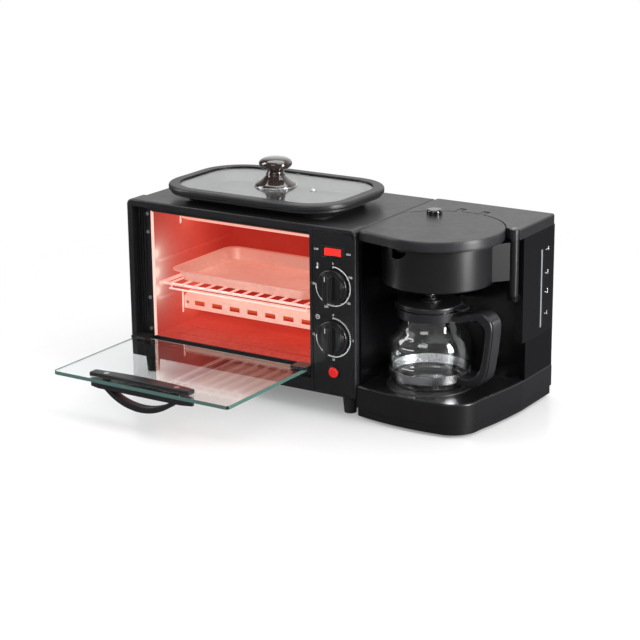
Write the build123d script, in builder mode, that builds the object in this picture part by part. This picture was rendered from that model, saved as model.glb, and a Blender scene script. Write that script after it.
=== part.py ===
"""Three-in-one breakfast maker: a small oven with a griddle on its roof and a drip coffee maker at its side.

Millimetres, +Z up, +X to the right and +Y to the back as the user sees it. The origin is the bottom
centre of the box round the whole unit with its oven door hanging open. Every piece is written to parts/
as its own STEP.
"""
from build123d import *
from math import cos, sin, radians
import os

# Driving sizes of the whole unit
OVERALL_WIDTH = 470.0
COFFEE_WIDTH = 153.0
BODY_DEPTH = 186.0
BODY_TOP = 218.0
OVEN_FLOOR = 22.0
DOOR_REACH = 158.0
REAR_PROUD = 3.0
FIT_GAP = 0.3
SHEET = 1.0
PLASTIC = 2.5

LEFT = -OVERALL_WIDTH / 2
RIGHT = OVERALL_WIDTH / 2
OVEN_RIGHT = RIGHT - COFFEE_WIDTH
COFFEE_LEFT = OVEN_RIGHT
FRONT = (DOOR_REACH - BODY_DEPTH - REAR_PROUD) / 2
BACK = FRONT + BODY_DEPTH

# Front bezel, its door recess and the window into the cavity
BEZEL_DEPTH = 26.0
BEZEL_CORNER = 7.0
BEZEL_EDGE = 2.0
RECESS_MARGIN = 8.0
RECESS_LEFT = LEFT + RECESS_MARGIN
PANEL_WIDTH = 60.0
PANEL_LEFT = OVEN_RIGHT - PANEL_WIDTH
RECESS_BOTTOM = 38.0
RECESS_TOP = 210.0
RECESS_DEPTH = 11.0
RECESS_FLOOR = 3.0
WINDOW_MARGIN = 27.0
WINDOW_LEFT = LEFT + WINDOW_MARGIN
WINDOW_BOTTOM = 50.0
WINDOW_TOP = 204.0
RIB_WIDTH = 1.6
RIB_HEIGHT = 2.0
RIB_PITCH = 3.6
RIB_COUNT = 3
RIB_START = 66.0

# Control panel and its fittings
PANEL_PLATE = 2.5
PANEL_MARGIN = 2.5
CONTROL_SHIFT = 1.0
CONTROL_X = (PANEL_LEFT + OVEN_RIGHT) / 2 + CONTROL_SHIFT
SWITCH_Z = 190.5
UPPER_KNOB_Z = 150.8
LOWER_KNOB_Z = 91.3
LAMP_Z = 50.0
SWITCH_WIDTH = 31.0
SWITCH_HEIGHT = 13.0
ROCKER_WIDTH = 21.0
ROCKER_HEIGHT = 8.4
SWITCH_DEPTH = 16.0
SWITCH_RIM = 1.0
ROCKER_TILT = 7.0
ROCKER_PIVOT = 5.0
ROCKER_GAP = 0.4
ROCKER_PIN = 1.2
KNOB_RADIUS = 19.5
KNOB_SKIRT = 4.0
KNOB_DEPTH = 17.0
KNOB_STANDOFF = 1.0
KNOB_GRIP_WIDTH = 9.0
SHAFT_RADIUS = 3.0
SHAFT_CLEARANCE = 0.06
SHAFT_GRIP = 12.0
SHAFT_INSET = 8.0
CASE_GAP = 2.0
CONTROL_CASE = 34.0
CONTROL_CASE_DEPTH = 20.0
LAMP_RADIUS = 5.0
LAMP_FLANGE = 6.2
LAMP_PROUD = 2.2

# Sheet metal of the oven
COVER_DROP = 1.5
COVER_INSET = 1.5
COVER_CORNER = 6.0
CAVITY_BACK_GAP = 16.0
LEDGE_HEIGHTS = (96.0, 112.0, 142.0)
LEDGE_PROUD = 5.0
LEDGE_THICK = 2.0
VENT_SLOT = 3.0
VENT_LENGTH = 34.0
VENT_COUNT = 8
VENT_PITCH = 9.0
FOOT_RADIUS = 9.0
FOOT_TOE = 7.0
FOOT_INSET = 18.0
SCREW_HEAD = 3.2
SCREW_SHANK = 1.6
RIVET_HEAD = 0.8

# Heaters and their slotted guards
HEATER_SETBACK = 84.0
HEATER_Y = FRONT + HEATER_SETBACK
HEATER_TUBE = 4.5
HEATER_CAP = 7.0
LOWER_HEATER_Z = 78.0
UPPER_HEATER_Z = 190.0
GUARD_REACH = 13.0
GUARD_SHOULDER = 7.0
GUARD_PEAK = 5.0
GUARD_SKIRT = 8.0
GUARD_SHEET = 0.8
GUARD_SLOTS = 8
GUARD_SLOT = 15.0
GUARD_SLOT_HEIGHT = 6.0

# Rack and tray
RACK_LEDGE = LEDGE_HEIGHTS[1]
RACK_ROD = 2.0
RACK_CROSS = 1.7
RACK_WIRE = 1.2
RACK_WIRES = 12
RACK_SIDE_GAP = 1.5
TRAY_HEIGHT = 14.0
TRAY_SHEET = 1.0
TRAY_FLANGE = 5.0
TRAY_SIDE_GAP = 12.0
TRAY_TAPER = 5.0

# Door: it hangs open, level, from pins at its back edge
HINGE_SETBACK = 4.0
HINGE_Y = FRONT + HINGE_SETBACK
HINGE_Z = 47.0
GLASS_THICK = 4.0
GLASS_BELOW = 1.0
GLASS_LEFT_GAP = 2.0
GLASS_RIGHT_GAP = 4.0
GLASS_LEFT = RECESS_LEFT + GLASS_LEFT_GAP
GLASS_RIGHT = PANEL_LEFT - GLASS_RIGHT_GAP
PIN_TO_GLASS = 5.0
GLASS_BACK = HINGE_Y - PIN_TO_GLASS
GLASS_FRONT = FRONT - DOOR_REACH
GLASS_CORNER = 5.0
HANDLE_SHIFT = 5.0
HANDLE_X = (GLASS_LEFT + GLASS_RIGHT) / 2 - HANDLE_SHIFT
HANDLE_LENGTH = 142.0
HANDLE_INSET = 13.0
HANDLE_Y = GLASS_FRONT + HANDLE_INSET
HANDLE_BAR = 12.0
HANDLE_BAR_THICK = 6.0
HANDLE_POST = 4.5
HANDLE_POST_SPREAD = 98.0
HANDLE_STANDOFF = 3.0
HANDLE_BOW_DROP = 25.0
HANDLE_BOW_THICK = 6.5
STRIP_THICK = 5.0
STRIP_WIDTH = 11.0
STRIP_BULGE = 5.0
CLAMP_LENGTH = 20.0
CLAMP_DEPTH = 14.0
CLAMP_SKIN = 3.0
HINGE_PIN = 2.0
PIN_REACH = 3.2

# Griddle: pan, rimmed glass lid and knob
GRIDDLE_SHIFT = 1.5
GRIDDLE_X = (LEFT + OVEN_RIGHT) / 2 - GRIDDLE_SHIFT
LID_WIDTH = 248.0
LID_DEPTH = 162.0
LID_CORNER = 56.0
LID_RIM = 13.0
LID_RIM_HEIGHT = 7.0
LID_GLASS = 3.5
PAN_INSET = 3.0
PAN_HEIGHT = 13.0
PAN_WALL = 2.5
PAN_TAPER = 22.0
PLATE_THICK = 4.0
PLATE_LIP = 1.5
HOT_PLATE_GAP = 0.5
GRIDDLE_Y = FRONT + BEZEL_DEPTH + HOT_PLATE_GAP + PLATE_LIP + LID_DEPTH / 2 - PAN_INSET - PAN_TAPER
LID_KNOB_HEIGHT = 32.0
LID_KNOB_BASE = 23.5
LID_KNOB_NECK = 9.0
LID_KNOB_TOP = 18.0
LID_KNOB_FLANGE = 1.5

# Coffee maker: base, tower, tank and lid
BREW_INSET = 68.0
BREW_SETBACK = 66.0
BREW_X = COFFEE_LEFT + BREW_INSET
BREW_Y = FRONT + BREW_SETBACK
CARAFE_INSET = 65.0
CARAFE_SETBACK = 54.0
CARAFE_X = COFFEE_LEFT + CARAFE_INSET
CARAFE_Y = FRONT + CARAFE_SETBACK
BASE_TOP = 39.0
BASE_FOOT = 3.0
BASE_BOW = 5.5
BASE_SIDE = 11.0
BASE_LEFT_SETBACK = 2.0
BASE_CORNER = 46.0
BASE_CORNER_DEPTH = 30.0
BASE_SIDE_DEPTH = 112.0
BASE_EDGE = 2.0
BASE_BAND = 13.0
BASE_BAND_INSET = 1.2
DECK_DROP = 3.0
PLATE_RADIUS = 50.0
BAY_DEPTH = 116.0
BAY_BACK = FRONT + BAY_DEPTH
TOWER_WALL = 3.0
TOWER_DECK = 4.0
TANK_FLOOR = 86.0
TANK_TOP = 206.0
TANK_WALL = 2.0
TANK_GAP = 2.0
SIDE_SKIN = 2.0
RETURN_WIDTH = 10.0
RETURN_DEPTH = 8.0
GAUGE_SETBACK = 154.0
GAUGE_Y = FRONT + GAUGE_SETBACK
GAUGE_WIDTH = 4.0
GAUGE_LOW = 91.0
GAUGE_HIGH = 183.0
TOP_LID_RADIUS = 74.0
TOP_LID_PLATE = 3.0
SEAM = 0.8
BUTTON_INSET = 36.0
BUTTON_SETBACK = 114.0
BUTTON_X = COFFEE_LEFT + BUTTON_INSET
BUTTON_Y = FRONT + BUTTON_SETBACK
BUTTON_RADIUS = 9.0
BUTTON_HEIGHT = 6.0
LUG_WIDTH = 8.0
LUG_SPREAD = 30.0
LUG_REACH = 10.0
LUG_RADIUS = 2.8
LID_PIN = 1.2

# Swing-out filter basket and its drip stop
BASKET_RADIUS = 63.0
BASKET_WALL = 2.5
BASKET_BOTTOM = 157.0
BASKET_TOP = 203.0
BASKET_BACK_GAP = 4.0
BARREL_INSET = 7.0
BARREL_SETBACK = 97.0
BARREL_X = RIGHT - BARREL_INSET
BARREL_Y = FRONT + BARREL_SETBACK
BARREL_RADIUS = 5.5
BARREL_BOTTOM = 142.0
BARREL_PIN = 1.6
KNUCKLE = 6.0
INSERT_WALL = 1.6
INSERT_RADIUS = 45.0
INSERT_FOOT = 10.0
VALVE_RADIUS = 3.0
VALVE_HEAD = 5.5
VALVE_FOOT = 7.0
VALVE_LIFT = 2.5
SPRING_WIRE = 0.6
SPRING_COIL = 5.0
SPRING_TURNS = 5
PIPE_RADIUS = 3.5
PIPE_ANGLE = 65.0
PIPE_SETBACK = 14.0
PIPE_BEND = 9.0
HEATER_LOOP = 36.0
BOILER_TUBE = 6.0
SHOWER_RADIUS = 26.0

# Carafe
CARAFE_NECK = 34.0
CARAFE_WALL = 2.2
CARAFE_HEIGHT = 90.0
COLLAR_LOW = 79.0
COLLAR_HIGH = 89.0
COLLAR_WALL = 3.0
BAND_LOW = 10.0
BAND_HIGH = 20.0
BAND_THICK = 0.7
GRIP_TURN = -4.0
GRIP_REACH = 86.0
GRIP_WIDTH = 22.0
TRIM_SKIN = 0.8
CAP_RADIUS = 36.5
CAP_THICK = 5.5
CAP_BOSS = 12.0
CAP_BOSS_HEIGHT = 1.7


def block(x0, x1, y0, y1, z0, z1, mode=Mode.ADD):
    """Add or cut a box given by its limits along X, Y and Z."""
    with Locations(((x0 + x1) / 2, (y0 + y1) / 2, (z0 + z1) / 2)):
        return Box(x1 - x0, y1 - y0, z1 - z0, mode=mode)


def post(x, y, z0, z1, radius, mode=Mode.ADD):
    """Add or cut an upright round bar."""
    with Locations((x, y, (z0 + z1) / 2)):
        return Cylinder(radius, z1 - z0, mode=mode)


def bar_y(x, z, y0, y1, radius, mode=Mode.ADD):
    """Add or cut a round bar that runs front to back."""
    with Locations(Location((x, (y0 + y1) / 2, z), (90, 0, 0))):
        return Cylinder(radius, y1 - y0, mode=mode)


def bar_x(y, z, x0, x1, radius, mode=Mode.ADD):
    """Add or cut a round bar that runs left to right."""
    with Locations(Location(((x0 + x1) / 2, y, z), (0, 90, 0))):
        return Cylinder(radius, x1 - x0, mode=mode)


def save(builder, name):
    """Label a finished piece and write its STEP."""
    builder.part.label = name
    export_step(builder.part, f"parts/{name}.step")


os.makedirs("parts", exist_ok=True)

# Oven front
RECESS_Y = FRONT + RECESS_DEPTH
BEZEL_BACK = FRONT + BEZEL_DEPTH

with BuildPart() as front_bezel:
    block(LEFT, OVEN_RIGHT, FRONT, BEZEL_BACK, OVEN_FLOOR, BODY_TOP)
    fillet(front_bezel.edges().filter_by(Axis.Y).group_by(Axis.Z)[-1], BEZEL_CORNER)
    fillet(front_bezel.faces().sort_by(Axis.Y)[0].edges(), BEZEL_EDGE)
    # the recess that the closed door fills, then the window behind it
    block(RECESS_LEFT, PANEL_LEFT, FRONT, RECESS_Y, RECESS_BOTTOM, RECESS_TOP, Mode.SUBTRACT)
    block(WINDOW_LEFT, PANEL_LEFT - SHEET, RECESS_Y, BEZEL_BACK, WINDOW_BOTTOM, WINDOW_TOP, Mode.SUBTRACT)
    # hollows behind the left column, the sill and the control panel
    block(LEFT + PLASTIC, WINDOW_LEFT - PLASTIC, RECESS_Y + RECESS_FLOOR, BEZEL_BACK,
          WINDOW_BOTTOM, WINDOW_TOP, Mode.SUBTRACT)
    block(LEFT + PLASTIC, PANEL_LEFT - PLASTIC, RECESS_Y + RECESS_FLOOR, BEZEL_BACK,
          OVEN_FLOOR + PLASTIC, WINDOW_BOTTOM - PLASTIC, Mode.SUBTRACT)
    block(PANEL_LEFT + PANEL_MARGIN * 2, OVEN_RIGHT - PANEL_MARGIN * 2, FRONT, BEZEL_BACK,
          OVEN_FLOOR + PANEL_MARGIN * 2, BODY_TOP - PANEL_MARGIN * 3, Mode.SUBTRACT)
    block(PANEL_LEFT + PANEL_MARGIN, OVEN_RIGHT - PANEL_MARGIN, FRONT, FRONT + PANEL_PLATE,
          OVEN_FLOOR + PANEL_MARGIN, BODY_TOP - PANEL_MARGIN * 2, Mode.SUBTRACT)
    for rib in range(RIB_COUNT):
        rib_x = RECESS_LEFT + RIB_PITCH * (rib + 1)
        block(rib_x - RIB_WIDTH / 2, rib_x + RIB_WIDTH / 2, RECESS_Y - RIB_HEIGHT, RECESS_Y,
              RIB_START, RECESS_TOP)
    # the pin seats at both ends of the door
    bar_x(HINGE_Y, HINGE_Z, RECESS_LEFT - PIN_REACH, RECESS_LEFT + 1, HINGE_PIN + SHAFT_CLEARANCE,
          Mode.SUBTRACT)
    bar_x(HINGE_Y, HINGE_Z, PANEL_LEFT - 1, PANEL_LEFT + PIN_REACH, HINGE_PIN + SHAFT_CLEARANCE,
          Mode.SUBTRACT)
save(front_bezel, "front_bezel")

PANEL_X0 = PANEL_LEFT + PANEL_MARGIN + FIT_GAP
PANEL_X1 = OVEN_RIGHT - PANEL_MARGIN - FIT_GAP
PANEL_Z0 = OVEN_FLOOR + PANEL_MARGIN + FIT_GAP
PANEL_Z1 = BODY_TOP - PANEL_MARGIN * 2 - FIT_GAP
PANEL_BACK = FRONT + PANEL_PLATE

with BuildPart() as control_panel:
    block(PANEL_X0, PANEL_X1, FRONT, PANEL_BACK, PANEL_Z0, PANEL_Z1)
    fillet(control_panel.edges().filter_by(Axis.Y).group_by(Axis.Z)[-1].sort_by(Axis.X)[-1], BEZEL_CORNER)
    block(CONTROL_X - SWITCH_WIDTH / 2 + SWITCH_RIM, CONTROL_X + SWITCH_WIDTH / 2 - SWITCH_RIM, FRONT,
          PANEL_BACK,
          SWITCH_Z - SWITCH_HEIGHT / 2 + SWITCH_RIM, SWITCH_Z + SWITCH_HEIGHT / 2 - SWITCH_RIM, Mode.SUBTRACT)
    for knob_z in (UPPER_KNOB_Z, LOWER_KNOB_Z):
        bar_y(CONTROL_X, knob_z, FRONT, PANEL_BACK, SHAFT_RADIUS + SHAFT_CLEARANCE, Mode.SUBTRACT)
    bar_y(CONTROL_X, LAMP_Z, FRONT, PANEL_BACK, LAMP_RADIUS, Mode.SUBTRACT)
save(control_panel, "control_panel")

# Rocker switch: a snap-in case and a button that rocks about an upright pin line
SWITCH_X0 = CONTROL_X - SWITCH_WIDTH / 2
SWITCH_X1 = CONTROL_X + SWITCH_WIDTH / 2
SWITCH_Z0 = SWITCH_Z - SWITCH_HEIGHT / 2
SWITCH_Z1 = SWITCH_Z + SWITCH_HEIGHT / 2
ROCKER_POCKET = 10.0
ROCKER_PIVOT_Y = FRONT + ROCKER_PIVOT
ROCKER_PIN_REACH = SWITCH_HEIGHT / 2 - SWITCH_RIM - FIT_GAP - 0.1

with BuildPart() as rocker_housing:
    block(SWITCH_X0, SWITCH_X1, FRONT - SWITCH_RIM, FRONT, SWITCH_Z0, SWITCH_Z1)
    chamfer(rocker_housing.faces().sort_by(Axis.Y)[0].edges(), 0.6)
    block(SWITCH_X0 + SWITCH_RIM + FIT_GAP, SWITCH_X1 - SWITCH_RIM - FIT_GAP, FRONT, FRONT + SWITCH_DEPTH,
          SWITCH_Z0 + SWITCH_RIM + FIT_GAP, SWITCH_Z1 - SWITCH_RIM - FIT_GAP)
    block(CONTROL_X - ROCKER_WIDTH / 2 - ROCKER_GAP * 3, CONTROL_X + ROCKER_WIDTH / 2 + ROCKER_GAP * 3,
          FRONT - SWITCH_RIM, FRONT + ROCKER_POCKET, SWITCH_Z - ROCKER_HEIGHT / 2 - ROCKER_GAP,
          SWITCH_Z + ROCKER_HEIGHT / 2 + ROCKER_GAP, Mode.SUBTRACT)
    for blade in (-7, 7):
        block(CONTROL_X + blade - 2.4, CONTROL_X + blade + 2.4, FRONT + SWITCH_DEPTH,
              FRONT + SWITCH_DEPTH + 7,
              SWITCH_Z - 0.4, SWITCH_Z + 0.4)
    # the pin seats above and below the button
    post(CONTROL_X, ROCKER_PIVOT_Y, SWITCH_Z0 + SWITCH_RIM, SWITCH_Z1 - SWITCH_RIM,
         ROCKER_PIN + SHAFT_CLEARANCE,
         Mode.SUBTRACT)
save(rocker_housing, "rocker_housing")

with BuildPart() as rocker_button:
    with BuildSketch(Plane.XY.offset(SWITCH_Z - ROCKER_HEIGHT / 2)):
        with BuildLine():
            wing = ROCKER_WIDTH / 2
            Polyline((CONTROL_X - wing, FRONT + 2.6), (CONTROL_X - wing, FRONT - 2.4),
                     (CONTROL_X, FRONT - 0.4),
                     (CONTROL_X + wing, FRONT - 2.4), (CONTROL_X + wing, FRONT + 2.6),
                     (CONTROL_X, ROCKER_PIVOT_Y + 3.5), close=True)
        make_face()
    extrude(amount=ROCKER_HEIGHT)
    fillet(rocker_button.edges().filter_by(Axis.Z).sort_by(Axis.Y)[:2], 0.8)
    post(CONTROL_X, ROCKER_PIVOT_Y, SWITCH_Z - ROCKER_PIN_REACH, SWITCH_Z + ROCKER_PIN_REACH, ROCKER_PIN)
rocker_axis = Axis((CONTROL_X, ROCKER_PIVOT_Y, SWITCH_Z), (0, 0, 1))
rocker_button.part = rocker_button.part.rotate(rocker_axis, ROCKER_TILT)
save(rocker_button, "rocker_button")


# Knobs and the controls behind the panel
def knob(name, z):
    """A turned knob with a raised grip bar and a blind bore for its shaft."""
    face_y = FRONT - KNOB_STANDOFF
    with BuildPart() as piece:
        with BuildSketch(Plane.XZ.offset(-face_y)):
            with Locations((CONTROL_X, z)):
                Circle(KNOB_RADIUS)
        extrude(amount=KNOB_SKIRT)
        fillet(piece.faces().sort_by(Axis.Y)[0].edges(), 1.5)
        with BuildSketch(Plane.XZ.offset(-(face_y - KNOB_SKIRT))):
            with Locations((CONTROL_X, z)):
                Circle(KNOB_RADIUS - 2.5)
        extrude(amount=KNOB_SKIRT, taper=12)
        with BuildSketch(Plane.XZ.offset(-(face_y - KNOB_SKIRT))):
            with Locations((CONTROL_X, z)):
                SlotOverall(KNOB_RADIUS * 2 - 4, KNOB_GRIP_WIDTH, rotation=90)
        extrude(amount=KNOB_DEPTH - KNOB_SKIRT, taper=5)
        fillet(piece.faces().sort_by(Axis.Y)[0].edges(), 1.2)
        bar_y(CONTROL_X, z, face_y - SHAFT_GRIP, face_y, SHAFT_RADIUS, Mode.SUBTRACT)
    save(piece, name)


def shaft(name, z):
    """A control's spindle, from the knob's bore into its case."""
    with BuildPart() as piece:
        bar_y(CONTROL_X, z, FRONT - KNOB_STANDOFF - SHAFT_GRIP + FIT_GAP,
              PANEL_BACK + CASE_GAP + SHAFT_INSET,
              SHAFT_RADIUS)
    save(piece, name)


def control_case(name, z, round_case):
    """The case behind the panel that holds the spindle: a round clockwork can or a square thermostat."""
    y0 = PANEL_BACK + CASE_GAP
    with BuildPart() as piece:
        with BuildSketch(Plane.XZ.offset(-(y0 + CONTROL_CASE_DEPTH))):
            with Locations((CONTROL_X, z)):
                if round_case:
                    Circle(CONTROL_CASE / 2)
                else:
                    RectangleRounded(CONTROL_CASE - 4, CONTROL_CASE - 4, 3)
        extrude(amount=CONTROL_CASE_DEPTH)
        # two studs tie the case to the back of the panel
        for side in (-1, 1):
            bar_y(CONTROL_X + side * 11, z, PANEL_BACK, y0, 2)
        bar_y(CONTROL_X, z, y0, y0 + SHAFT_INSET + 1, SHAFT_RADIUS + SHAFT_CLEARANCE, Mode.SUBTRACT)
    save(piece, name)


knob("temperature_knob", UPPER_KNOB_Z)
knob("timer_knob", LOWER_KNOB_Z)
shaft("thermostat_spindle", UPPER_KNOB_Z)
shaft("timer_spindle", LOWER_KNOB_Z)
control_case("thermostat", UPPER_KNOB_Z, False)
control_case("timer_clockwork", LOWER_KNOB_Z, True)

with BuildPart() as power_lamp:
    with BuildSketch(Plane.XZ.offset(-FRONT)):
        with Locations((CONTROL_X, LAMP_Z)):
            Circle(LAMP_FLANGE)
    extrude(amount=LAMP_PROUD)
    fillet(power_lamp.faces().sort_by(Axis.Y)[0].edges(), LAMP_PROUD - 0.4)
    bar_y(CONTROL_X, LAMP_Z, FRONT, FRONT + 12, LAMP_RADIUS - FIT_GAP / 2)
save(power_lamp, "power_lamp")

# Oven sheet metal
COVER_X0 = LEFT + COVER_INSET
COVER_X1 = OVEN_RIGHT
COVER_TOP = BODY_TOP - COVER_DROP
PLATE_X0 = GRIDDLE_X - LID_WIDTH / 2 + PAN_INSET + PAN_TAPER
PLATE_X1 = GRIDDLE_X + LID_WIDTH / 2 - PAN_INSET - PAN_TAPER
PLATE_Y0 = GRIDDLE_Y - LID_DEPTH / 2 + PAN_INSET + PAN_TAPER
PLATE_Y1 = GRIDDLE_Y + LID_DEPTH / 2 - PAN_INSET - PAN_TAPER

with BuildPart() as outer_cover:
    with BuildSketch(Plane.XZ.offset(-(BACK - SHEET))) as cover_outside:
        with Locations(((COVER_X0 + COVER_X1) / 2, (OVEN_FLOOR + COVER_TOP) / 2)):
            Rectangle(COVER_X1 - COVER_X0, COVER_TOP - OVEN_FLOOR)
        fillet(cover_outside.vertices().group_by(Axis.Y)[-1], COVER_CORNER)
    extrude(amount=BACK - SHEET - BEZEL_BACK)
    with BuildSketch(Plane.XZ.offset(-(BACK - SHEET))) as cover_inside:
        with Locations(((COVER_X0 + COVER_X1) / 2, (OVEN_FLOOR + COVER_TOP - SHEET) / 2)):
            Rectangle(COVER_X1 - COVER_X0 - SHEET * 2, COVER_TOP - SHEET - OVEN_FLOOR)
        fillet(cover_inside.vertices().group_by(Axis.Y)[-1], COVER_CORNER - SHEET)
    extrude(amount=BACK - SHEET - BEZEL_BACK, mode=Mode.SUBTRACT)
    # the roof opening that the hot plate fills
    block(PLATE_X0 - FIT_GAP, PLATE_X1 + FIT_GAP, PLATE_Y0 - FIT_GAP, PLATE_Y1 + FIT_GAP,
          COVER_TOP - SHEET, COVER_TOP, Mode.SUBTRACT)
    for vent in range(VENT_COUNT):
        vent_y = HEATER_Y + (vent - (VENT_COUNT - 1) / 2) * VENT_PITCH
        block(COVER_X0, COVER_X0 + SHEET, vent_y - VENT_SLOT / 2, vent_y + VENT_SLOT / 2,
              WINDOW_TOP - VENT_LENGTH, WINDOW_TOP, Mode.SUBTRACT)
save(outer_cover, "outer_cover")

CAVITY_X0 = WINDOW_LEFT
CAVITY_X1 = PANEL_LEFT - SHEET
CAVITY_Y0 = RECESS_Y + RECESS_FLOOR
CAVITY_Y1 = BACK - CAVITY_BACK_GAP

with BuildPart() as cavity_liner:
    block(CAVITY_X0, CAVITY_X1, RECESS_Y, CAVITY_Y1, WINDOW_BOTTOM, WINDOW_TOP)
    block(CAVITY_X0 + SHEET, CAVITY_X1 - SHEET, RECESS_Y, CAVITY_Y1 - SHEET,
          WINDOW_BOTTOM + SHEET, WINDOW_TOP - SHEET, Mode.SUBTRACT)
    # pressed ledges that carry the rack
    for ledge_z in LEDGE_HEIGHTS:
        block(CAVITY_X0 + SHEET, CAVITY_X0 + SHEET + LEDGE_PROUD, CAVITY_Y0 + 4, CAVITY_Y1 - SHEET,
              ledge_z - LEDGE_THICK, ledge_z)
        block(CAVITY_X1 - SHEET - LEDGE_PROUD, CAVITY_X1 - SHEET, CAVITY_Y0 + 4, CAVITY_Y1 - SHEET,
              ledge_z - LEDGE_THICK, ledge_z)
    # heater holes through both sides
    for heater_z in (LOWER_HEATER_Z, UPPER_HEATER_Z):
        bar_x(HEATER_Y, heater_z, CAVITY_X0, CAVITY_X1, HEATER_TUBE + FIT_GAP, Mode.SUBTRACT)
save(cavity_liner, "cavity_liner")

with BuildPart() as back_panel:
    block(COVER_X0, COVER_X1, BACK - SHEET, BACK, OVEN_FLOOR, COVER_TOP - COVER_CORNER / 2)
    fillet(back_panel.edges().filter_by(Axis.Y).group_by(Axis.Z)[-1], COVER_CORNER / 2)
    for row_z in (70.0, 170.0):
        with Locations((GRIDDLE_X, BACK - SHEET / 2, row_z)):
            with GridLocations(VENT_PITCH * 1.6, 1, VENT_COUNT + 3, 1):
                Box(VENT_SLOT, SHEET, VENT_LENGTH, mode=Mode.SUBTRACT)
save(back_panel, "back_panel")

with BuildPart() as bottom_plate:
    block(COVER_X0 + SHEET, COVER_X1 - SHEET, BEZEL_BACK, BACK - SHEET, OVEN_FLOOR, OVEN_FLOOR + SHEET)
    with Locations((GRIDDLE_X, HEATER_Y, OVEN_FLOOR + SHEET / 2)):
        with GridLocations(VENT_PITCH * 2, 1, VENT_COUNT, 1):
            Box(VENT_SLOT, VENT_LENGTH, SHEET, mode=Mode.SUBTRACT)
    # tabs bent up from the plate carry the cavity
    for tab_y in (CAVITY_Y0 + 30, CAVITY_Y1 - 20):
        for tab_x in (CAVITY_X0 + 8, CAVITY_X1 - 20):
            block(tab_x, tab_x + 12, tab_y, tab_y + 2, OVEN_FLOOR + SHEET, WINDOW_BOTTOM)
save(bottom_plate, "bottom_plate")

FEET_X = (LEFT + FOOT_INSET, OVEN_RIGHT - FOOT_INSET)
FEET_Y = (FRONT + FOOT_INSET, BACK - FOOT_INSET)
BASE_FEET = ((COFFEE_LEFT + 22, FRONT + 24), (RIGHT - 34, FRONT + 40),
             (COFFEE_LEFT + 22, BACK - 16), (RIGHT - 20, BACK - 16))
with BuildPart() as feet:
    for foot_x in FEET_X:
        for foot_y in FEET_Y:
            with Locations((foot_x, foot_y, OVEN_FLOOR / 2)):
                Cone(FOOT_TOE, FOOT_RADIUS, OVEN_FLOOR)
    for foot_x, foot_y in BASE_FEET:
        post(foot_x, foot_y, 0, BASE_FOOT, FOOT_RADIUS)
save(feet, "feet")

CAVITY_SCREWS = ((LEFT + 22.5, 58.0), (LEFT + 22.5, 97.0), (LEFT + 22.5, 178.0), (LEFT + 22.5, 200.0))
BACK_SCREWS = ((COVER_X0 + 10, OVEN_FLOOR + 10), (COVER_X1 - 10, OVEN_FLOOR + 10),
               (COVER_X0 + 10, COVER_TOP - 14), (COVER_X1 - 10, COVER_TOP - 14))
with BuildPart() as housing_screws:
    for screw_x, screw_z in CAVITY_SCREWS:
        bar_y(screw_x, screw_z, RECESS_Y - RIVET_HEAD, RECESS_Y, SCREW_HEAD / 1.4)
    for screw_x, screw_z in BACK_SCREWS:
        bar_y(screw_x, screw_z, BACK, BACK + 1.6, SCREW_HEAD)
save(housing_screws, "housing_screws")

GROMMET_X = OVEN_RIGHT - 26.0
GROMMET_Z = 40.0
with BuildPart() as cord_grommet:
    bar_y(GROMMET_X, GROMMET_Z, BACK, BACK + 3, 9)
    fillet(cord_grommet.faces().sort_by(Axis.Y)[-1].edges(), 1.2)
    bar_y(GROMMET_X, GROMMET_Z, BACK - 1, BACK + 3, 3.6, Mode.SUBTRACT)
save(cord_grommet, "cord_grommet")


# Heaters
GUARD_X0 = CAVITY_X0 + SHEET
GUARD_X1 = CAVITY_X1 - SHEET
GUARD_PITCH = (GUARD_X1 - GUARD_X0 - 20) / GUARD_SLOTS

with BuildPart() as heater_tubes:
    # sheathed elements with a ceramic cap at each end, held in the cavity's side walls
    for heater_z in (LOWER_HEATER_Z, UPPER_HEATER_Z):
        bar_x(HEATER_Y, heater_z, CAVITY_X0 - 2, CAVITY_X1 + 2, HEATER_TUBE)
        for cap_x in (CAVITY_X0 - 12, CAVITY_X1 + FIT_GAP):
            bar_x(HEATER_Y, heater_z, cap_x, cap_x + 12 - FIT_GAP, HEATER_CAP)
save(heater_tubes, "heater_tubes")


def guard_section(z, above):
    """A bent sheet channel round a heater: a roof over the lower one, a trough under the upper one."""
    near = HEATER_Y - GUARD_REACH
    far = HEATER_Y + GUARD_REACH
    skirt = z - above * GUARD_SKIRT
    shoulder = z + above * GUARD_SHOULDER
    peak = shoulder + above * GUARD_PEAK
    with BuildSketch(Plane.YZ.offset(GUARD_X0)) as section:
        with BuildLine():
            Polyline((near, skirt), (near, shoulder), (HEATER_Y, peak), (far, shoulder), (far, skirt),
                     (far - GUARD_SHEET, skirt), (far - GUARD_SHEET, shoulder - above * GUARD_SHEET),
                     (HEATER_Y, peak - above * GUARD_SHEET),
                     (near + GUARD_SHEET, shoulder - above * GUARD_SHEET), (near + GUARD_SHEET,
                                                                            skirt), close=True)
        make_face()
    return section.sketch.face()


with BuildPart() as heater_guards:
    for heater_z, above in ((LOWER_HEATER_Z, 1), (UPPER_HEATER_Z, -1)):
        extrude(guard_section(heater_z, above), amount=GUARD_X1 - GUARD_X0, dir=(1, 0, 0))
        for slot in range(GUARD_SLOTS):
            slot_x = GUARD_X0 + 10 + GUARD_PITCH * (slot + 0.5)
            block(slot_x - GUARD_SLOT / 2, slot_x + GUARD_SLOT / 2, HEATER_Y - GUARD_REACH - 1,
                  HEATER_Y + GUARD_REACH + 1, heater_z - GUARD_SLOT_HEIGHT / 2,
                  heater_z + GUARD_SLOT_HEIGHT / 2, Mode.SUBTRACT)
save(heater_guards, "heater_guards")

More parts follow.
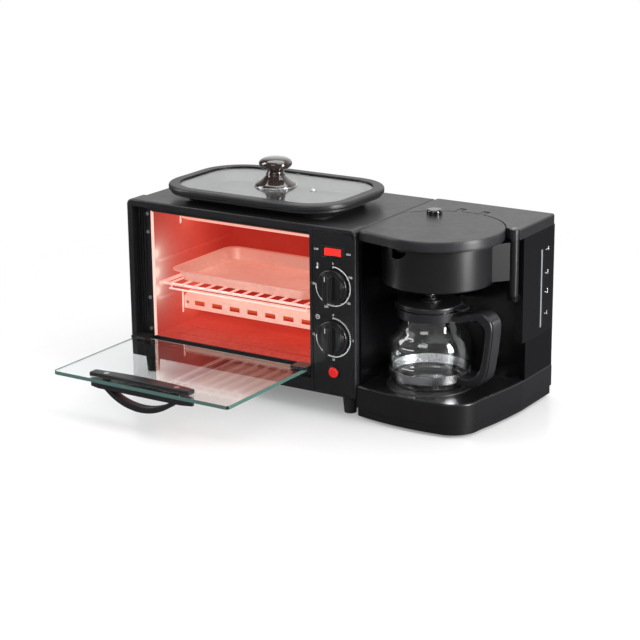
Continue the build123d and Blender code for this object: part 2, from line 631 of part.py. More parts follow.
# Rack and baking tray
RACK_X0 = CAVITY_X0 + SHEET + RACK_SIDE_GAP
RACK_X1 = CAVITY_X1 - SHEET - RACK_SIDE_GAP
RACK_Y0 = CAVITY_Y0 + 6
RACK_Y1 = CAVITY_Y1 - SHEET - 6
RACK_Z = RACK_LEDGE + RACK_ROD + FIT_GAP

with BuildPart() as wire_rack:
    # two side rods, with lighter cross rods let into them
    for rod_x in (RACK_X0 + RACK_ROD, RACK_X1 - RACK_ROD):
        bar_y(rod_x, RACK_Z, RACK_Y0, RACK_Y1, RACK_ROD)
    for rod_y in (RACK_Y0 + RACK_ROD + 1, RACK_Y1 - RACK_ROD - 1):
        bar_x(rod_y, RACK_Z, RACK_X0 + RACK_ROD, RACK_X1 - RACK_ROD, RACK_CROSS)
    wire_pitch = (RACK_X1 - RACK_X0) / (RACK_WIRES + 1)
    for wire in range(RACK_WIRES):
        bar_y(RACK_X0 + wire_pitch * (wire + 1), RACK_Z + RACK_ROD, RACK_Y0 + 1, RACK_Y1 - 1, RACK_WIRE)
    # the second front rail hangs below the first on the end wires
    rail_z = RACK_Z - 6
    bar_x(RACK_Y0 + RACK_ROD + 1, rail_z, RACK_X0 + 13, RACK_X1 - 13, RACK_WIRE)
    for rail_x in (RACK_X0 + 16, RACK_X1 - 16):
        post(rail_x, RACK_Y0 + RACK_ROD + 1, rail_z, RACK_Z, RACK_WIRE - 0.2)
save(wire_rack, "wire_rack")

TRAY_X0 = CAVITY_X0 + SHEET + TRAY_SIDE_GAP
TRAY_X1 = CAVITY_X1 - SHEET - TRAY_SIDE_GAP
TRAY_Y0 = RACK_Y0 + 3
TRAY_Y1 = RACK_Y1 - 8
TRAY_Z = RACK_Z + RACK_ROD + RACK_WIRE + FIT_GAP
TRAY_TOP = TRAY_Z + TRAY_HEIGHT


def tray_outline(inset, z):
    """A rounded rectangle of the tray at one height, as a sketch plane with its size drawn in."""
    with BuildSketch(Plane.XY.offset(z)) as outline:
        with Locations(((TRAY_X0 + TRAY_X1) / 2, (TRAY_Y0 + TRAY_Y1) / 2)):
            RectangleRounded(TRAY_X1 - TRAY_X0 - 2 * inset, TRAY_Y1 - TRAY_Y0 - 2 * inset, 14)
    return outline.sketch


tray_foot = tray_outline(TRAY_FLANGE + TRAY_TAPER, TRAY_Z)
tray_mouth = tray_outline(TRAY_FLANGE, TRAY_TOP - TRAY_SHEET)
tray_well_foot = tray_outline(TRAY_FLANGE + TRAY_TAPER + TRAY_SHEET, TRAY_Z + TRAY_SHEET)
tray_well_mouth = tray_outline(TRAY_FLANGE + TRAY_SHEET, TRAY_TOP)
with BuildPart() as baking_tray:
    loft([tray_foot.face(), tray_mouth.face()])
    with BuildSketch(Plane.XY.offset(TRAY_TOP - TRAY_SHEET)):
        with Locations(((TRAY_X0 + TRAY_X1) / 2, (TRAY_Y0 + TRAY_Y1) / 2)):
            RectangleRounded(TRAY_X1 - TRAY_X0, TRAY_Y1 - TRAY_Y0, 17)
    extrude(amount=TRAY_SHEET)
    loft([tray_well_foot.face(), tray_well_mouth.face()], mode=Mode.SUBTRACT)
save(baking_tray, "baking_tray")

# Door, open and level
GLASS_Z0 = HINGE_Z - GLASS_BELOW
GLASS_Z1 = GLASS_Z0 + GLASS_THICK
HANDLE_HOLES = (HANDLE_X - HANDLE_POST_SPREAD / 2, HANDLE_X + HANDLE_POST_SPREAD / 2)
BOLT_RADIUS = 1.8

with BuildPart() as door_glass:
    block(GLASS_LEFT, GLASS_RIGHT, GLASS_FRONT, GLASS_BACK, GLASS_Z0, GLASS_Z1)
    fillet(door_glass.edges().filter_by(Axis.Z).group_by(Axis.Y)[0], GLASS_CORNER)
    for hole_x in HANDLE_HOLES:
        post(hole_x, HANDLE_Y, GLASS_Z0, GLASS_Z1, BOLT_RADIUS + 0.6, Mode.SUBTRACT)
save(door_glass, "door_glass")

BAR_TOP = GLASS_Z0 - HANDLE_STANDOFF
BAR_END = HANDLE_LENGTH / 2
BOW_HALF = 46.0

with BuildPart() as door_handle:
    # the straight bar with pointed ends, drawn from above
    with BuildSketch(Plane.XY.offset(BAR_TOP - HANDLE_BAR_THICK)):
        with BuildLine():
            Polyline((HANDLE_X - BAR_END, HANDLE_Y - 2), (HANDLE_X - BAR_END, HANDLE_Y + 2),
                     (HANDLE_X - BAR_END + 14, HANDLE_Y + HANDLE_BAR / 2),
                     (HANDLE_X + BAR_END - 14, HANDLE_Y + HANDLE_BAR / 2), (HANDLE_X + BAR_END,
                                                                            HANDLE_Y + 2),
                     (HANDLE_X + BAR_END, HANDLE_Y - 2), (HANDLE_X + BAR_END - 14,
                                                          HANDLE_Y - HANDLE_BAR / 2),
                     (HANDLE_X - BAR_END + 14, HANDLE_Y - HANDLE_BAR / 2), close=True)
        make_face()
    extrude(amount=HANDLE_BAR_THICK)
    fillet(door_handle.edges().filter_by(Axis.Z), 1.5)
    # the bow hangs below the bar: an arc strip between two chords
    with BuildSketch(Plane.XZ.offset(-(HANDLE_Y + HANDLE_BAR / 2 - 1))):
        with BuildLine():
            bow_top = BAR_TOP - HANDLE_BAR_THICK / 2
            outer = BOW_HALF + HANDLE_BOW_THICK
            ThreePointArc((HANDLE_X - outer, bow_top), (HANDLE_X, BAR_TOP - HANDLE_BOW_DROP),
                          (HANDLE_X + outer, bow_top))
            Line((HANDLE_X + outer, bow_top), (HANDLE_X + BOW_HALF, bow_top))
            ThreePointArc((HANDLE_X + BOW_HALF, bow_top),
                          (HANDLE_X, BAR_TOP - HANDLE_BOW_DROP + HANDLE_BOW_THICK),
                          (HANDLE_X - BOW_HALF, bow_top))
            Line((HANDLE_X - BOW_HALF, bow_top), (HANDLE_X - outer, bow_top))
        make_face()
    extrude(amount=HANDLE_BAR - 2)
    for hole_x in HANDLE_HOLES:
        post(hole_x, HANDLE_Y, BAR_TOP - 1, GLASS_Z0, HANDLE_POST)
        post(hole_x, HANDLE_Y, BAR_TOP, GLASS_Z0, BOLT_RADIUS, Mode.SUBTRACT)
save(door_handle, "door_handle")

with BuildPart() as door_inner_strip:
    with BuildSketch(Plane.XY.offset(GLASS_Z1)):
        with BuildLine():
            strip_end = BAR_END - 2
            back_y = HANDLE_Y + STRIP_WIDTH / 2
            Line((HANDLE_X - strip_end, HANDLE_Y - STRIP_WIDTH / 2),
                 (HANDLE_X + strip_end, HANDLE_Y - STRIP_WIDTH / 2))
            Line((HANDLE_X + strip_end, HANDLE_Y - STRIP_WIDTH / 2), (HANDLE_X + strip_end, back_y))
            ThreePointArc((HANDLE_X + strip_end, back_y), (HANDLE_X, back_y + STRIP_BULGE),
                          (HANDLE_X - strip_end, back_y))
            Line((HANDLE_X - strip_end, back_y), (HANDLE_X - strip_end, HANDLE_Y - STRIP_WIDTH / 2))
        make_face()
    extrude(amount=STRIP_THICK)
    fillet(door_inner_strip.faces().sort_by(Axis.Z)[-1].edges(), 1.5)
    for hole_x in HANDLE_HOLES:
        post(hole_x, HANDLE_Y, GLASS_Z1, GLASS_Z1 + STRIP_THICK, BOLT_RADIUS, Mode.SUBTRACT)
        post(hole_x, HANDLE_Y, GLASS_Z1 + STRIP_THICK - 1.6, GLASS_Z1 + STRIP_THICK, SCREW_HEAD + 0.2,
             Mode.SUBTRACT)
save(door_inner_strip, "door_inner_strip")

with BuildPart() as door_handle_screws:
    for hole_x in HANDLE_HOLES:
        post(hole_x, HANDLE_Y, BAR_TOP, GLASS_Z1 + STRIP_THICK - 1.6, BOLT_RADIUS)
        post(hole_x, HANDLE_Y, GLASS_Z1 + STRIP_THICK - 1.6, GLASS_Z1 + STRIP_THICK, SCREW_HEAD)
save(door_handle_screws, "door_handle_screws")

CLAMP_X = ((RECESS_LEFT + FIT_GAP, RECESS_LEFT + FIT_GAP + CLAMP_LENGTH),
           (PANEL_LEFT - FIT_GAP - CLAMP_LENGTH, PANEL_LEFT - FIT_GAP))
with BuildPart() as door_hinge_clamps:
    # each end block grips the back edge of the glass and turns on its pin
    for x0, x1 in CLAMP_X:
        block(x0, x1, GLASS_BACK - CLAMP_DEPTH + 4, GLASS_BACK, GLASS_Z1, GLASS_Z1 + CLAMP_SKIN)
        block(x0, x1, GLASS_BACK, HINGE_Y + 3, HINGE_Z - 3.4, GLASS_Z1 + CLAMP_SKIN)
    bar_x(HINGE_Y, HINGE_Z, CLAMP_X[0][0], CLAMP_X[0][0] + 8, HINGE_PIN, Mode.SUBTRACT)
    bar_x(HINGE_Y, HINGE_Z, CLAMP_X[1][1] - 8, CLAMP_X[1][1], HINGE_PIN, Mode.SUBTRACT)
save(door_hinge_clamps, "door_hinge_clamps")

with BuildPart() as door_hinge_pins:
    bar_x(HINGE_Y, HINGE_Z, RECESS_LEFT - PIN_REACH + 1, CLAMP_X[0][0] + 8, HINGE_PIN)
    bar_x(HINGE_Y, HINGE_Z, CLAMP_X[1][1] - 8, PANEL_LEFT + PIN_REACH - 1, HINGE_PIN)
save(door_hinge_pins, "door_hinge_pins")

# Griddle
PAN_Z0 = COVER_TOP
PAN_TOP = PAN_Z0 + PAN_HEIGHT
HOT_PLATE_TOP = COVER_TOP

with BuildPart() as hot_plate:
    block(PLATE_X0, PLATE_X1, PLATE_Y0, PLATE_Y1, HOT_PLATE_TOP - PLATE_THICK, HOT_PLATE_TOP)
    block(PLATE_X0 - PLATE_LIP, PLATE_X1 + PLATE_LIP, PLATE_Y0 - PLATE_LIP, PLATE_Y1 + PLATE_LIP,
          HOT_PLATE_TOP - PLATE_THICK, HOT_PLATE_TOP - SHEET)
    # the sheathed element is cast in under the plate, on four legs that stand on the cavity's roof
    for leg_x in (PLATE_X0 + 10, PLATE_X1 - 10):
        for leg_y in (PLATE_Y0 + 10, PLATE_Y1 - 10):
            post(leg_x, leg_y, WINDOW_TOP, HOT_PLATE_TOP - PLATE_THICK, 3)
save(hot_plate, "hot_plate")


def griddle_outline(inset, z):
    """The griddle's rounded plan at one height, drawn in from the lid's outside."""
    with BuildSketch(Plane.XY.offset(z)) as outline:
        with Locations((GRIDDLE_X, GRIDDLE_Y)):
            RectangleRounded(LID_WIDTH - 2 * inset, LID_DEPTH - 2 * inset, max(LID_CORNER - inset, 12))
    return outline.sketch.face()


with BuildPart() as griddle_pan:
    loft([griddle_outline(PAN_INSET + PAN_TAPER, PAN_Z0), griddle_outline(PAN_INSET + 6, PAN_TOP)])
    with BuildSketch(Plane.XY.offset(PAN_TOP - PAN_WALL)):
        with Locations((GRIDDLE_X, GRIDDLE_Y)):
            RectangleRounded(LID_WIDTH - 2 * PAN_INSET, LID_DEPTH - 2 * PAN_INSET, LID_CORNER - PAN_INSET)
    extrude(amount=PAN_WALL)
    loft([griddle_outline(PAN_INSET + PAN_TAPER + PAN_WALL, PAN_Z0 + PAN_WALL),
          griddle_outline(PAN_INSET + 6 + PAN_WALL, PAN_TOP)], mode=Mode.SUBTRACT)
save(griddle_pan, "griddle_pan")

LID_Z0 = PAN_TOP + FIT_GAP
LID_TOP = LID_Z0 + LID_RIM_HEIGHT
GROOVE = 3.0
GLASS_LID_Z = LID_TOP - LID_GLASS - 1.5

with BuildPart() as griddle_lid_rim:
    with BuildSketch(Plane.XY.offset(LID_Z0)):
        with Locations((GRIDDLE_X, GRIDDLE_Y)):
            RectangleRounded(LID_WIDTH, LID_DEPTH, LID_CORNER)
            RectangleRounded(LID_WIDTH - 2 * LID_RIM, LID_DEPTH - 2 * LID_RIM, LID_CORNER - LID_RIM,
                             mode=Mode.SUBTRACT)
    extrude(amount=LID_RIM_HEIGHT)
    fillet(griddle_lid_rim.faces().sort_by(Axis.Z)[-1].outer_wire().edges(), 2.5)
    fillet(griddle_lid_rim.faces().sort_by(Axis.Z)[0].outer_wire().edges(), 2.0)
    with BuildSketch(Plane.XY.offset(GLASS_LID_Z)):
        with Locations((GRIDDLE_X, GRIDDLE_Y)):
            RectangleRounded(LID_WIDTH - 2 * LID_RIM + 2 * GROOVE, LID_DEPTH - 2 * LID_RIM + 2 * GROOVE,
                             LID_CORNER - LID_RIM + GROOVE)
    extrude(amount=LID_GLASS, mode=Mode.SUBTRACT)
save(griddle_lid_rim, "griddle_lid_rim")

KNOB_SEAT = GLASS_LID_Z + LID_GLASS
with BuildPart() as griddle_lid_glass:
    with BuildSketch(Plane.XY.offset(GLASS_LID_Z)):
        with Locations((GRIDDLE_X, GRIDDLE_Y)):
            RectangleRounded(LID_WIDTH - 2 * LID_RIM + 2 * GROOVE, LID_DEPTH - 2 * LID_RIM + 2 * GROOVE,
                             LID_CORNER - LID_RIM + GROOVE)
    extrude(amount=LID_GLASS)
    post(GRIDDLE_X, GRIDDLE_Y, GLASS_LID_Z, KNOB_SEAT, 3, Mode.SUBTRACT)
save(griddle_lid_glass, "griddle_lid_glass")

def knob_point(away, share):
    """A point of the lid knob's section: distance from its axis and share of its height."""
    return (GRIDDLE_X + away, KNOB_SEAT + LID_KNOB_HEIGHT * share)


with BuildPart() as griddle_lid_knob:
    with BuildSketch(Plane.XZ.offset(-GRIDDLE_Y)):
        with BuildLine():
            flange_top = knob_point(LID_KNOB_BASE, LID_KNOB_FLANGE / LID_KNOB_HEIGHT)
            neck_top = knob_point(LID_KNOB_NECK * 1.11, 0.53)
            Line(knob_point(0, 0), knob_point(LID_KNOB_BASE, 0))
            Line(knob_point(LID_KNOB_BASE, 0), flange_top)
            Spline(flange_top, knob_point(LID_KNOB_BASE * 0.6, 0.19), knob_point(LID_KNOB_NECK, 0.41),
                   neck_top)
            Spline(neck_top, knob_point(LID_KNOB_TOP * 0.83, 0.66), knob_point(LID_KNOB_TOP, 0.78),
                   knob_point(LID_KNOB_TOP * 0.78, 0.94), knob_point(0, 1))
            Line(knob_point(0, 1), knob_point(0, 0))
        make_face()
    revolve(axis=Axis((GRIDDLE_X, GRIDDLE_Y, 0), (0, 0, 1)))
save(griddle_lid_knob, "griddle_lid_knob")

with BuildPart() as lid_knob_screw:
    post(GRIDDLE_X, GRIDDLE_Y, GLASS_LID_Z - 2, GLASS_LID_Z, 6)
    post(GRIDDLE_X, GRIDDLE_Y, GLASS_LID_Z, KNOB_SEAT, 2.5)
save(lid_knob_screw, "lid_knob_screw")

# Coffee maker base
def base_plan(inset, z):
    """The base's outline at one height: straight left and back, a bowed front and a round right corner."""
    x0 = COFFEE_LEFT + inset
    x1 = RIGHT - inset
    y0 = FRONT + BASE_LEFT_SETBACK + inset
    y1 = BACK - inset
    bow_y = FRONT - BASE_BOW + inset
    corner_x = RIGHT - BASE_CORNER
    side_x = x1 - BASE_SIDE
    side_y = FRONT + BASE_CORNER_DEPTH
    with BuildSketch(Plane.XY.offset(z)) as plan:
        with BuildLine():
            Line((x0, y1), (x0, y0))
            ThreePointArc((x0, y0), ((x0 + corner_x) / 2, bow_y - 0.8), (corner_x, bow_y))
            ThreePointArc((corner_x, bow_y),
                          (side_x - BASE_CORNER * 0.206, FRONT + BASE_CORNER_DEPTH * 0.15 + inset * 0.8),
                          (side_x, side_y))
            ThreePointArc((side_x, side_y), (x1 - BASE_SIDE * 0.36, FRONT + BASE_SIDE_DEPTH * 0.625),
                          (x1, FRONT + BASE_SIDE_DEPTH))
            Line((x1, FRONT + BASE_SIDE_DEPTH), (x1, y1))
            Line((x1, y1), (x0, y1))
        make_face()
    return plan.sketch.face()


PIPE_SPREAD = HEATER_LOOP * cos(radians(PIPE_ANGLE))
RISER_X = CARAFE_X - PIPE_SPREAD
SUPPLY_X = CARAFE_X + PIPE_SPREAD
PIPE_Y = BAY_BACK + PIPE_SETBACK
LOOP_END_Y = CARAFE_Y + HEATER_LOOP * sin(radians(PIPE_ANGLE))
BOILER_Z = BASE_TOP - DECK_DROP - BOILER_TUBE

with BuildPart() as coffee_base:
    extrude(base_plan(BASE_BAND_INSET, BASE_FOOT), amount=BASE_BAND - BASE_FOOT)
    extrude(base_plan(0, BASE_BAND), amount=BASE_TOP - BASE_BAND)
    fillet(coffee_base.faces().sort_by(Axis.Z)[-1].edges(), BASE_EDGE)
    # hollow underside, and the shallow deck that the warming plate sits in
    extrude(base_plan(PLASTIC + BASE_BAND_INSET, BASE_FOOT),
            amount=BASE_TOP - DECK_DROP - PLASTIC - BASE_FOOT,
            mode=Mode.SUBTRACT)
    post(CARAFE_X, CARAFE_Y, BASE_TOP - DECK_DROP, BASE_TOP, PLATE_RADIUS + 2, Mode.SUBTRACT)
    post(CARAFE_X, CARAFE_Y, BASE_FOOT, BASE_TOP, PLATE_RADIUS - 5, Mode.SUBTRACT)
    for pipe_x in (RISER_X, SUPPLY_X):
        block(pipe_x - 5, pipe_x + 5, PIPE_Y - 13, PIPE_Y + 5, BASE_FOOT + PLASTIC, BASE_TOP, Mode.SUBTRACT)
save(coffee_base, "coffee_base")

with BuildPart() as base_cover:
    extrude(base_plan(PLASTIC + BASE_BAND_INSET + FIT_GAP, BASE_FOOT), amount=PLASTIC)
    with Locations((CARAFE_X, CARAFE_Y, BASE_FOOT + PLASTIC / 2)):
        with GridLocations(VENT_PITCH, 1, VENT_COUNT, 1):
            Box(VENT_SLOT, VENT_LENGTH, PLASTIC, mode=Mode.SUBTRACT)
save(base_cover, "base_cover")

PLATE_TOP = BASE_TOP + 0.5
with BuildPart() as warming_plate:
    post(CARAFE_X, CARAFE_Y, BASE_TOP - DECK_DROP, PLATE_TOP, PLATE_RADIUS)
    fillet(warming_plate.faces().sort_by(Axis.Z)[-1].edges(), 1.2)
save(warming_plate, "warming_plate")

with BuildPart() as boiler_heater:
    with BuildLine() as loop_path:
        CenterArc((CARAFE_X, CARAFE_Y, BOILER_Z), HEATER_LOOP, 180 - PIPE_ANGLE, 180 + 2 * PIPE_ANGLE)
    with BuildSketch(Plane(origin=loop_path.line @ 0, z_dir=loop_path.line % 0)):
        Circle(BOILER_TUBE)
    sweep()
save(boiler_heater, "boiler_heater")

# Tower: the left wall, the wall behind the carafe and the shelf under the tank
TOWER_X0 = COFFEE_LEFT
TOWER_X1 = RIGHT - SIDE_SKIN
SHELF_TOP = TANK_FLOOR - TANK_GAP

with BuildPart() as tower_shell:
    block(TOWER_X0, TOWER_X0 + TOWER_WALL, FRONT + 8, BACK - PLASTIC, BASE_TOP, TANK_TOP)
    block(TOWER_X0, TOWER_X1, BAY_BACK, BAY_BACK + TOWER_WALL, BASE_TOP, TANK_TOP)
    block(TOWER_X0, TOWER_X1, BAY_BACK, BACK - PLASTIC, SHELF_TOP - TOWER_WALL, SHELF_TOP)
    block(TOWER_X1 - TOWER_WALL, RIGHT, BAY_BACK, BACK - PLASTIC, BASE_TOP, SHELF_TOP)
    # passages for the supply hose and the riser
    for pipe_x in (RISER_X, SUPPLY_X):
        post(pipe_x, PIPE_Y, SHELF_TOP - TOWER_WALL, SHELF_TOP, PIPE_RADIUS + 1.5, Mode.SUBTRACT)
save(tower_shell, "tower_shell")

with BuildPart() as rear_cover:
    block(COFFEE_LEFT, RIGHT, BACK - PLASTIC, BACK, BASE_TOP, TANK_TOP)
    fillet(rear_cover.edges().filter_by(Axis.Z).group_by(Axis.Y)[-1], 1.5)
    with Locations(((COFFEE_LEFT + RIGHT) / 2, BACK - PLASTIC / 2, 62)):
        with GridLocations(VENT_PITCH, 1, VENT_COUNT, 1):
            Box(VENT_SLOT, PLASTIC, VENT_LENGTH / 2, mode=Mode.SUBTRACT)
save(rear_cover, "rear_cover")

RETURN_Y = BAY_BACK - RETURN_DEPTH
with BuildPart() as side_panel:
    block(RIGHT - SIDE_SKIN, RIGHT, RETURN_Y, BACK - PLASTIC, SHELF_TOP, TANK_TOP)
    block(RIGHT - RETURN_WIDTH, RIGHT, RETURN_Y, RETURN_Y + SIDE_SKIN, SHELF_TOP, TANK_TOP)
    block(RIGHT - RETURN_WIDTH, RIGHT - RETURN_WIDTH + SIDE_SKIN, RETURN_Y, BAY_BACK, SHELF_TOP, TANK_TOP)
    block(RIGHT - SIDE_SKIN, RIGHT, GAUGE_Y - GAUGE_WIDTH / 2, GAUGE_Y + GAUGE_WIDTH / 2,
          GAUGE_LOW, GAUGE_HIGH, Mode.SUBTRACT)
    # the lower knuckle of the basket's hinge, on a web from the return
    knuckle_top = BARREL_BOTTOM - FIT_GAP
    block(BARREL_X - 3, BARREL_X + 3, BARREL_Y, RETURN_Y, knuckle_top - KNUCKLE, knuckle_top)
    post(BARREL_X, BARREL_Y, knuckle_top - KNUCKLE, knuckle_top, BARREL_RADIUS)
    post(BARREL_X, BARREL_Y, knuckle_top - KNUCKLE + 1.5, knuckle_top, BARREL_PIN, Mode.SUBTRACT)
save(side_panel, "side_panel")

TANK_X0 = TOWER_X0 + TOWER_WALL + TANK_GAP
TANK_X1 = TOWER_X1 - TANK_GAP
TANK_Y0 = BAY_BACK + TOWER_WALL + TANK_GAP
TANK_Y1 = BACK - PLASTIC - TANK_GAP
SPIGOT_DROP = 9.0

with BuildPart() as water_tank:
    block(TANK_X0, TANK_X1, TANK_Y0, TANK_Y1, TANK_FLOOR, TANK_TOP)
    fillet(water_tank.edges().filter_by(Axis.Z), 4)
    with BuildSketch(Plane.XY.offset(TANK_FLOOR + TANK_WALL)):
        with Locations(((TANK_X0 + TANK_X1) / 2, (TANK_Y0 + TANK_Y1) / 2)):
            RectangleRounded(TANK_X1 - TANK_X0 - 2 * TANK_WALL, TANK_Y1 - TANK_Y0 - 2 * TANK_WALL, 2)
    extrude(amount=TANK_TOP - TANK_FLOOR - TANK_WALL, mode=Mode.SUBTRACT)
    # a sleeve lets the riser pass up through the tank, and a spigot feeds the hose
    post(RISER_X, PIPE_Y, TANK_FLOOR, TANK_TOP - 4, PIPE_RADIUS + 2)
    post(RISER_X, PIPE_Y, TANK_FLOOR, TANK_TOP - 4, PIPE_RADIUS + 0.5, Mode.SUBTRACT)
    post(SUPPLY_X, PIPE_Y, TANK_FLOOR - SPIGOT_DROP, TANK_FLOOR, PIPE_RADIUS - 1)
    post(SUPPLY_X, PIPE_Y, TANK_FLOOR - SPIGOT_DROP, TANK_FLOOR + TANK_WALL, PIPE_RADIUS - 2, Mode.SUBTRACT)
    # feet that stand on the shelf
    for foot_x in (TANK_X0 + 12, TANK_X1 - 12):
        for foot_y in (TANK_Y0 + 8, TANK_Y1 - 8):
            post(foot_x, foot_y, SHELF_TOP, TANK_FLOOR, 4)
save(water_tank, "water_tank")

with BuildPart() as gauge_window:
    block(TANK_X1, RIGHT - FIT_GAP, GAUGE_Y - GAUGE_WIDTH / 2 + FIT_GAP / 2,
          GAUGE_Y + GAUGE_WIDTH / 2 - FIT_GAP / 2,
          GAUGE_LOW + FIT_GAP, GAUGE_HIGH - FIT_GAP)
save(gauge_window, "gauge_window")

# Water pipes: supply hose down to the boiler, riser up over the wall to the shower head
SPOUT_Z = TANK_TOP + PIPE_RADIUS
SHOWER_Z0 = BASKET_TOP + 1.2
SHOWER_TOP = SPOUT_Z - PIPE_RADIUS + 1
SHOWER_Y = BREW_Y - 4

with BuildPart() as supply_hose:
    with BuildLine() as supply_path:
        FilletPolyline((SUPPLY_X, PIPE_Y, TANK_FLOOR - 0.4), (SUPPLY_X, PIPE_Y, BOILER_Z),
                       (SUPPLY_X, LOOP_END_Y + BOILER_TUBE + 0.3, BOILER_Z), radius=PIPE_BEND)
    with BuildSketch(Plane(origin=supply_path.line @ 0, z_dir=supply_path.line % 0)):
        Circle(PIPE_RADIUS)
        Circle(PIPE_RADIUS - 1, mode=Mode.SUBTRACT)
    sweep()
save(supply_hose, "supply_hose")

with BuildPart() as riser_pipe:
    with BuildLine() as riser_path:
        FilletPolyline((RISER_X, LOOP_END_Y + BOILER_TUBE + 0.3, BOILER_Z), (RISER_X, PIPE_Y, BOILER_Z),
                       (RISER_X, PIPE_Y, SPOUT_Z),
                       (BREW_X, SHOWER_Y + 12, SPOUT_Z), radius=PIPE_BEND)
    with BuildSketch(Plane(origin=riser_path.line @ 0, z_dir=riser_path.line % 0)):
        Circle(PIPE_RADIUS)
        Circle(PIPE_RADIUS - 1, mode=Mode.SUBTRACT)
    sweep()
save(riser_pipe, "riser_pipe")

with BuildPart() as shower_head:
    post(BREW_X, SHOWER_Y, SHOWER_Z0, SHOWER_Z0 + 1.8, SHOWER_RADIUS)
    post(BREW_X, SHOWER_Y, SHOWER_Z0 + 1.8, SPOUT_Z + PIPE_RADIUS - 0.5, 9)
    fillet(shower_head.edges().filter_by(GeomType.CIRCLE).group_by(Axis.Z)[-1], 1.2)
    with Locations((BREW_X, SHOWER_Y, SHOWER_Z0 + 0.9)):
        with PolarLocations(SHOWER_RADIUS - 6, 12):
            Cylinder(1.2, 1.8, mode=Mode.SUBTRACT)
        with PolarLocations(13, 8):
            Cylinder(1.2, 1.8, mode=Mode.SUBTRACT)
save(shower_head, "shower_head")

# Top of the coffee maker: a fixed cover with a round bay, and the lid that lies in it
LID_BOTTOM = TANK_TOP + FIT_GAP
LID_LEFT = TOWER_X0 + SEAM + FIT_GAP
LID_FRONT_Y = BREW_Y - TOP_LID_RADIUS
LID_SLOPE = 14.0
LID_HINGE_Y = BREW_Y + TOP_LID_RADIUS + LUG_REACH
LID_HINGE_Z = BODY_TOP - LUG_RADIUS - 0.2
LUG_XS = (BREW_X - LUG_SPREAD / 2, BREW_X + LUG_SPREAD / 2)


def lid_plan(z, grow):
    """The lid's outline at one height: a disc drawn out to the oven at its front left and cut straight there."""
    with BuildSketch(Plane.XY.offset(z)) as plan:
        with Locations((BREW_X, BREW_Y)):
            Circle(TOP_LID_RADIUS)
        with BuildLine():
            Polyline((LID_LEFT, LID_FRONT_Y + LID_SLOPE), (BREW_X - 8, LID_FRONT_Y + 0.6), (BREW_X, BREW_Y),
                     (LID_LEFT, BREW_Y), close=True)
        make_face()
        with Locations((LID_LEFT - 20, BREW_Y)):
            Rectangle(40, 4 * TOP_LID_RADIUS, mode=Mode.SUBTRACT)
        if grow:
            offset(amount=grow)
    return plan.sketch.face()


with BuildPart() as tower_top:
    block(COFFEE_LEFT, RIGHT, BARREL_Y, BACK, TANK_TOP, BODY_TOP)
    fillet(tower_top.edges().filter_by(Axis.Z).group_by(Axis.Y)[-1], 4)
    fillet(tower_top.faces().sort_by(Axis.Z)[-1].edges().filter_by_position(Axis.X, RIGHT - 4, RIGHT), 2)
    post(BARREL_X, BARREL_Y, TANK_TOP, BODY_TOP, BARREL_RADIUS)
    block(COFFEE_LEFT + PLASTIC, RIGHT - PLASTIC, BAY_BACK, BACK - PLASTIC, TANK_TOP, BODY_TOP - TOWER_DECK,
          Mode.SUBTRACT)
    # cheeks that stiffen the deck round the lid's hinge slots
    for lug_x in LUG_XS:
        block(lug_x - LUG_WIDTH, lug_x + LUG_WIDTH, LID_HINGE_Y - 5, LID_HINGE_Y + 6, BODY_TOP - 9,
              BODY_TOP - 1)
    extrude(lid_plan(TANK_TOP, SEAM), amount=BODY_TOP - TANK_TOP, mode=Mode.SUBTRACT)
    for lug_x in LUG_XS:
        block(lug_x - LUG_WIDTH / 2 - FIT_GAP, lug_x + LUG_WIDTH / 2 + FIT_GAP, LID_HINGE_Y - LUG_REACH - 2,
              LID_HINGE_Y + 3.6, BODY_TOP - 9, BODY_TOP, Mode.SUBTRACT)
        bar_x(LID_HINGE_Y, LID_HINGE_Z, lug_x - LUG_WIDTH / 2 - 3, lug_x + LUG_WIDTH / 2 + 3, LID_PIN,
              Mode.SUBTRACT)
    post(BARREL_X, BARREL_Y, TANK_TOP, BODY_TOP - 4, BARREL_PIN, Mode.SUBTRACT)
save(tower_top, "tower_top")

with BuildPart() as brew_lid:
    extrude(lid_plan(LID_BOTTOM, 0), amount=BODY_TOP - LID_BOTTOM)
    fillet(brew_lid.faces().sort_by(Axis.Z)[-1].edges(), 1.2)
    extrude(lid_plan(LID_BOTTOM, -PLASTIC), amount=BODY_TOP - LID_BOTTOM - TOP_LID_PLATE, mode=Mode.SUBTRACT)
    post(BUTTON_X, BUTTON_Y, BODY_TOP - TOP_LID_PLATE, BODY_TOP, 2.5, Mode.SUBTRACT)
    for lug_x in LUG_XS:
        block(lug_x - LUG_WIDTH / 2, lug_x + LUG_WIDTH / 2, LID_HINGE_Y - LUG_REACH - 1.5, LID_HINGE_Y,
              LID_HINGE_Z - LUG_RADIUS, LID_HINGE_Z + LUG_RADIUS)
        bar_x(LID_HINGE_Y, LID_HINGE_Z, lug_x - LUG_WIDTH / 2, lug_x + LUG_WIDTH / 2, LUG_RADIUS)
        bar_x(LID_HINGE_Y, LID_HINGE_Z, lug_x - LUG_WIDTH / 2, lug_x + LUG_WIDTH / 2,
              LID_PIN + SHAFT_CLEARANCE,
              Mode.SUBTRACT)
save(brew_lid, "brew_lid")

with BuildPart() as brew_lid_button:
    post(BUTTON_X, BUTTON_Y, BODY_TOP, BODY_TOP + BUTTON_HEIGHT, BUTTON_RADIUS)
    fillet(brew_lid_button.faces().sort_by(Axis.Z)[-1].edges(), 2.5)
    post(BUTTON_X, BUTTON_Y, BODY_TOP - TOP_LID_PLATE, BODY_TOP, 2.5)
    post(BUTTON_X, BUTTON_Y, BODY_TOP - TOP_LID_PLATE - 1.5, BODY_TOP - TOP_LID_PLATE, 5)
save(brew_lid_button, "brew_lid_button")

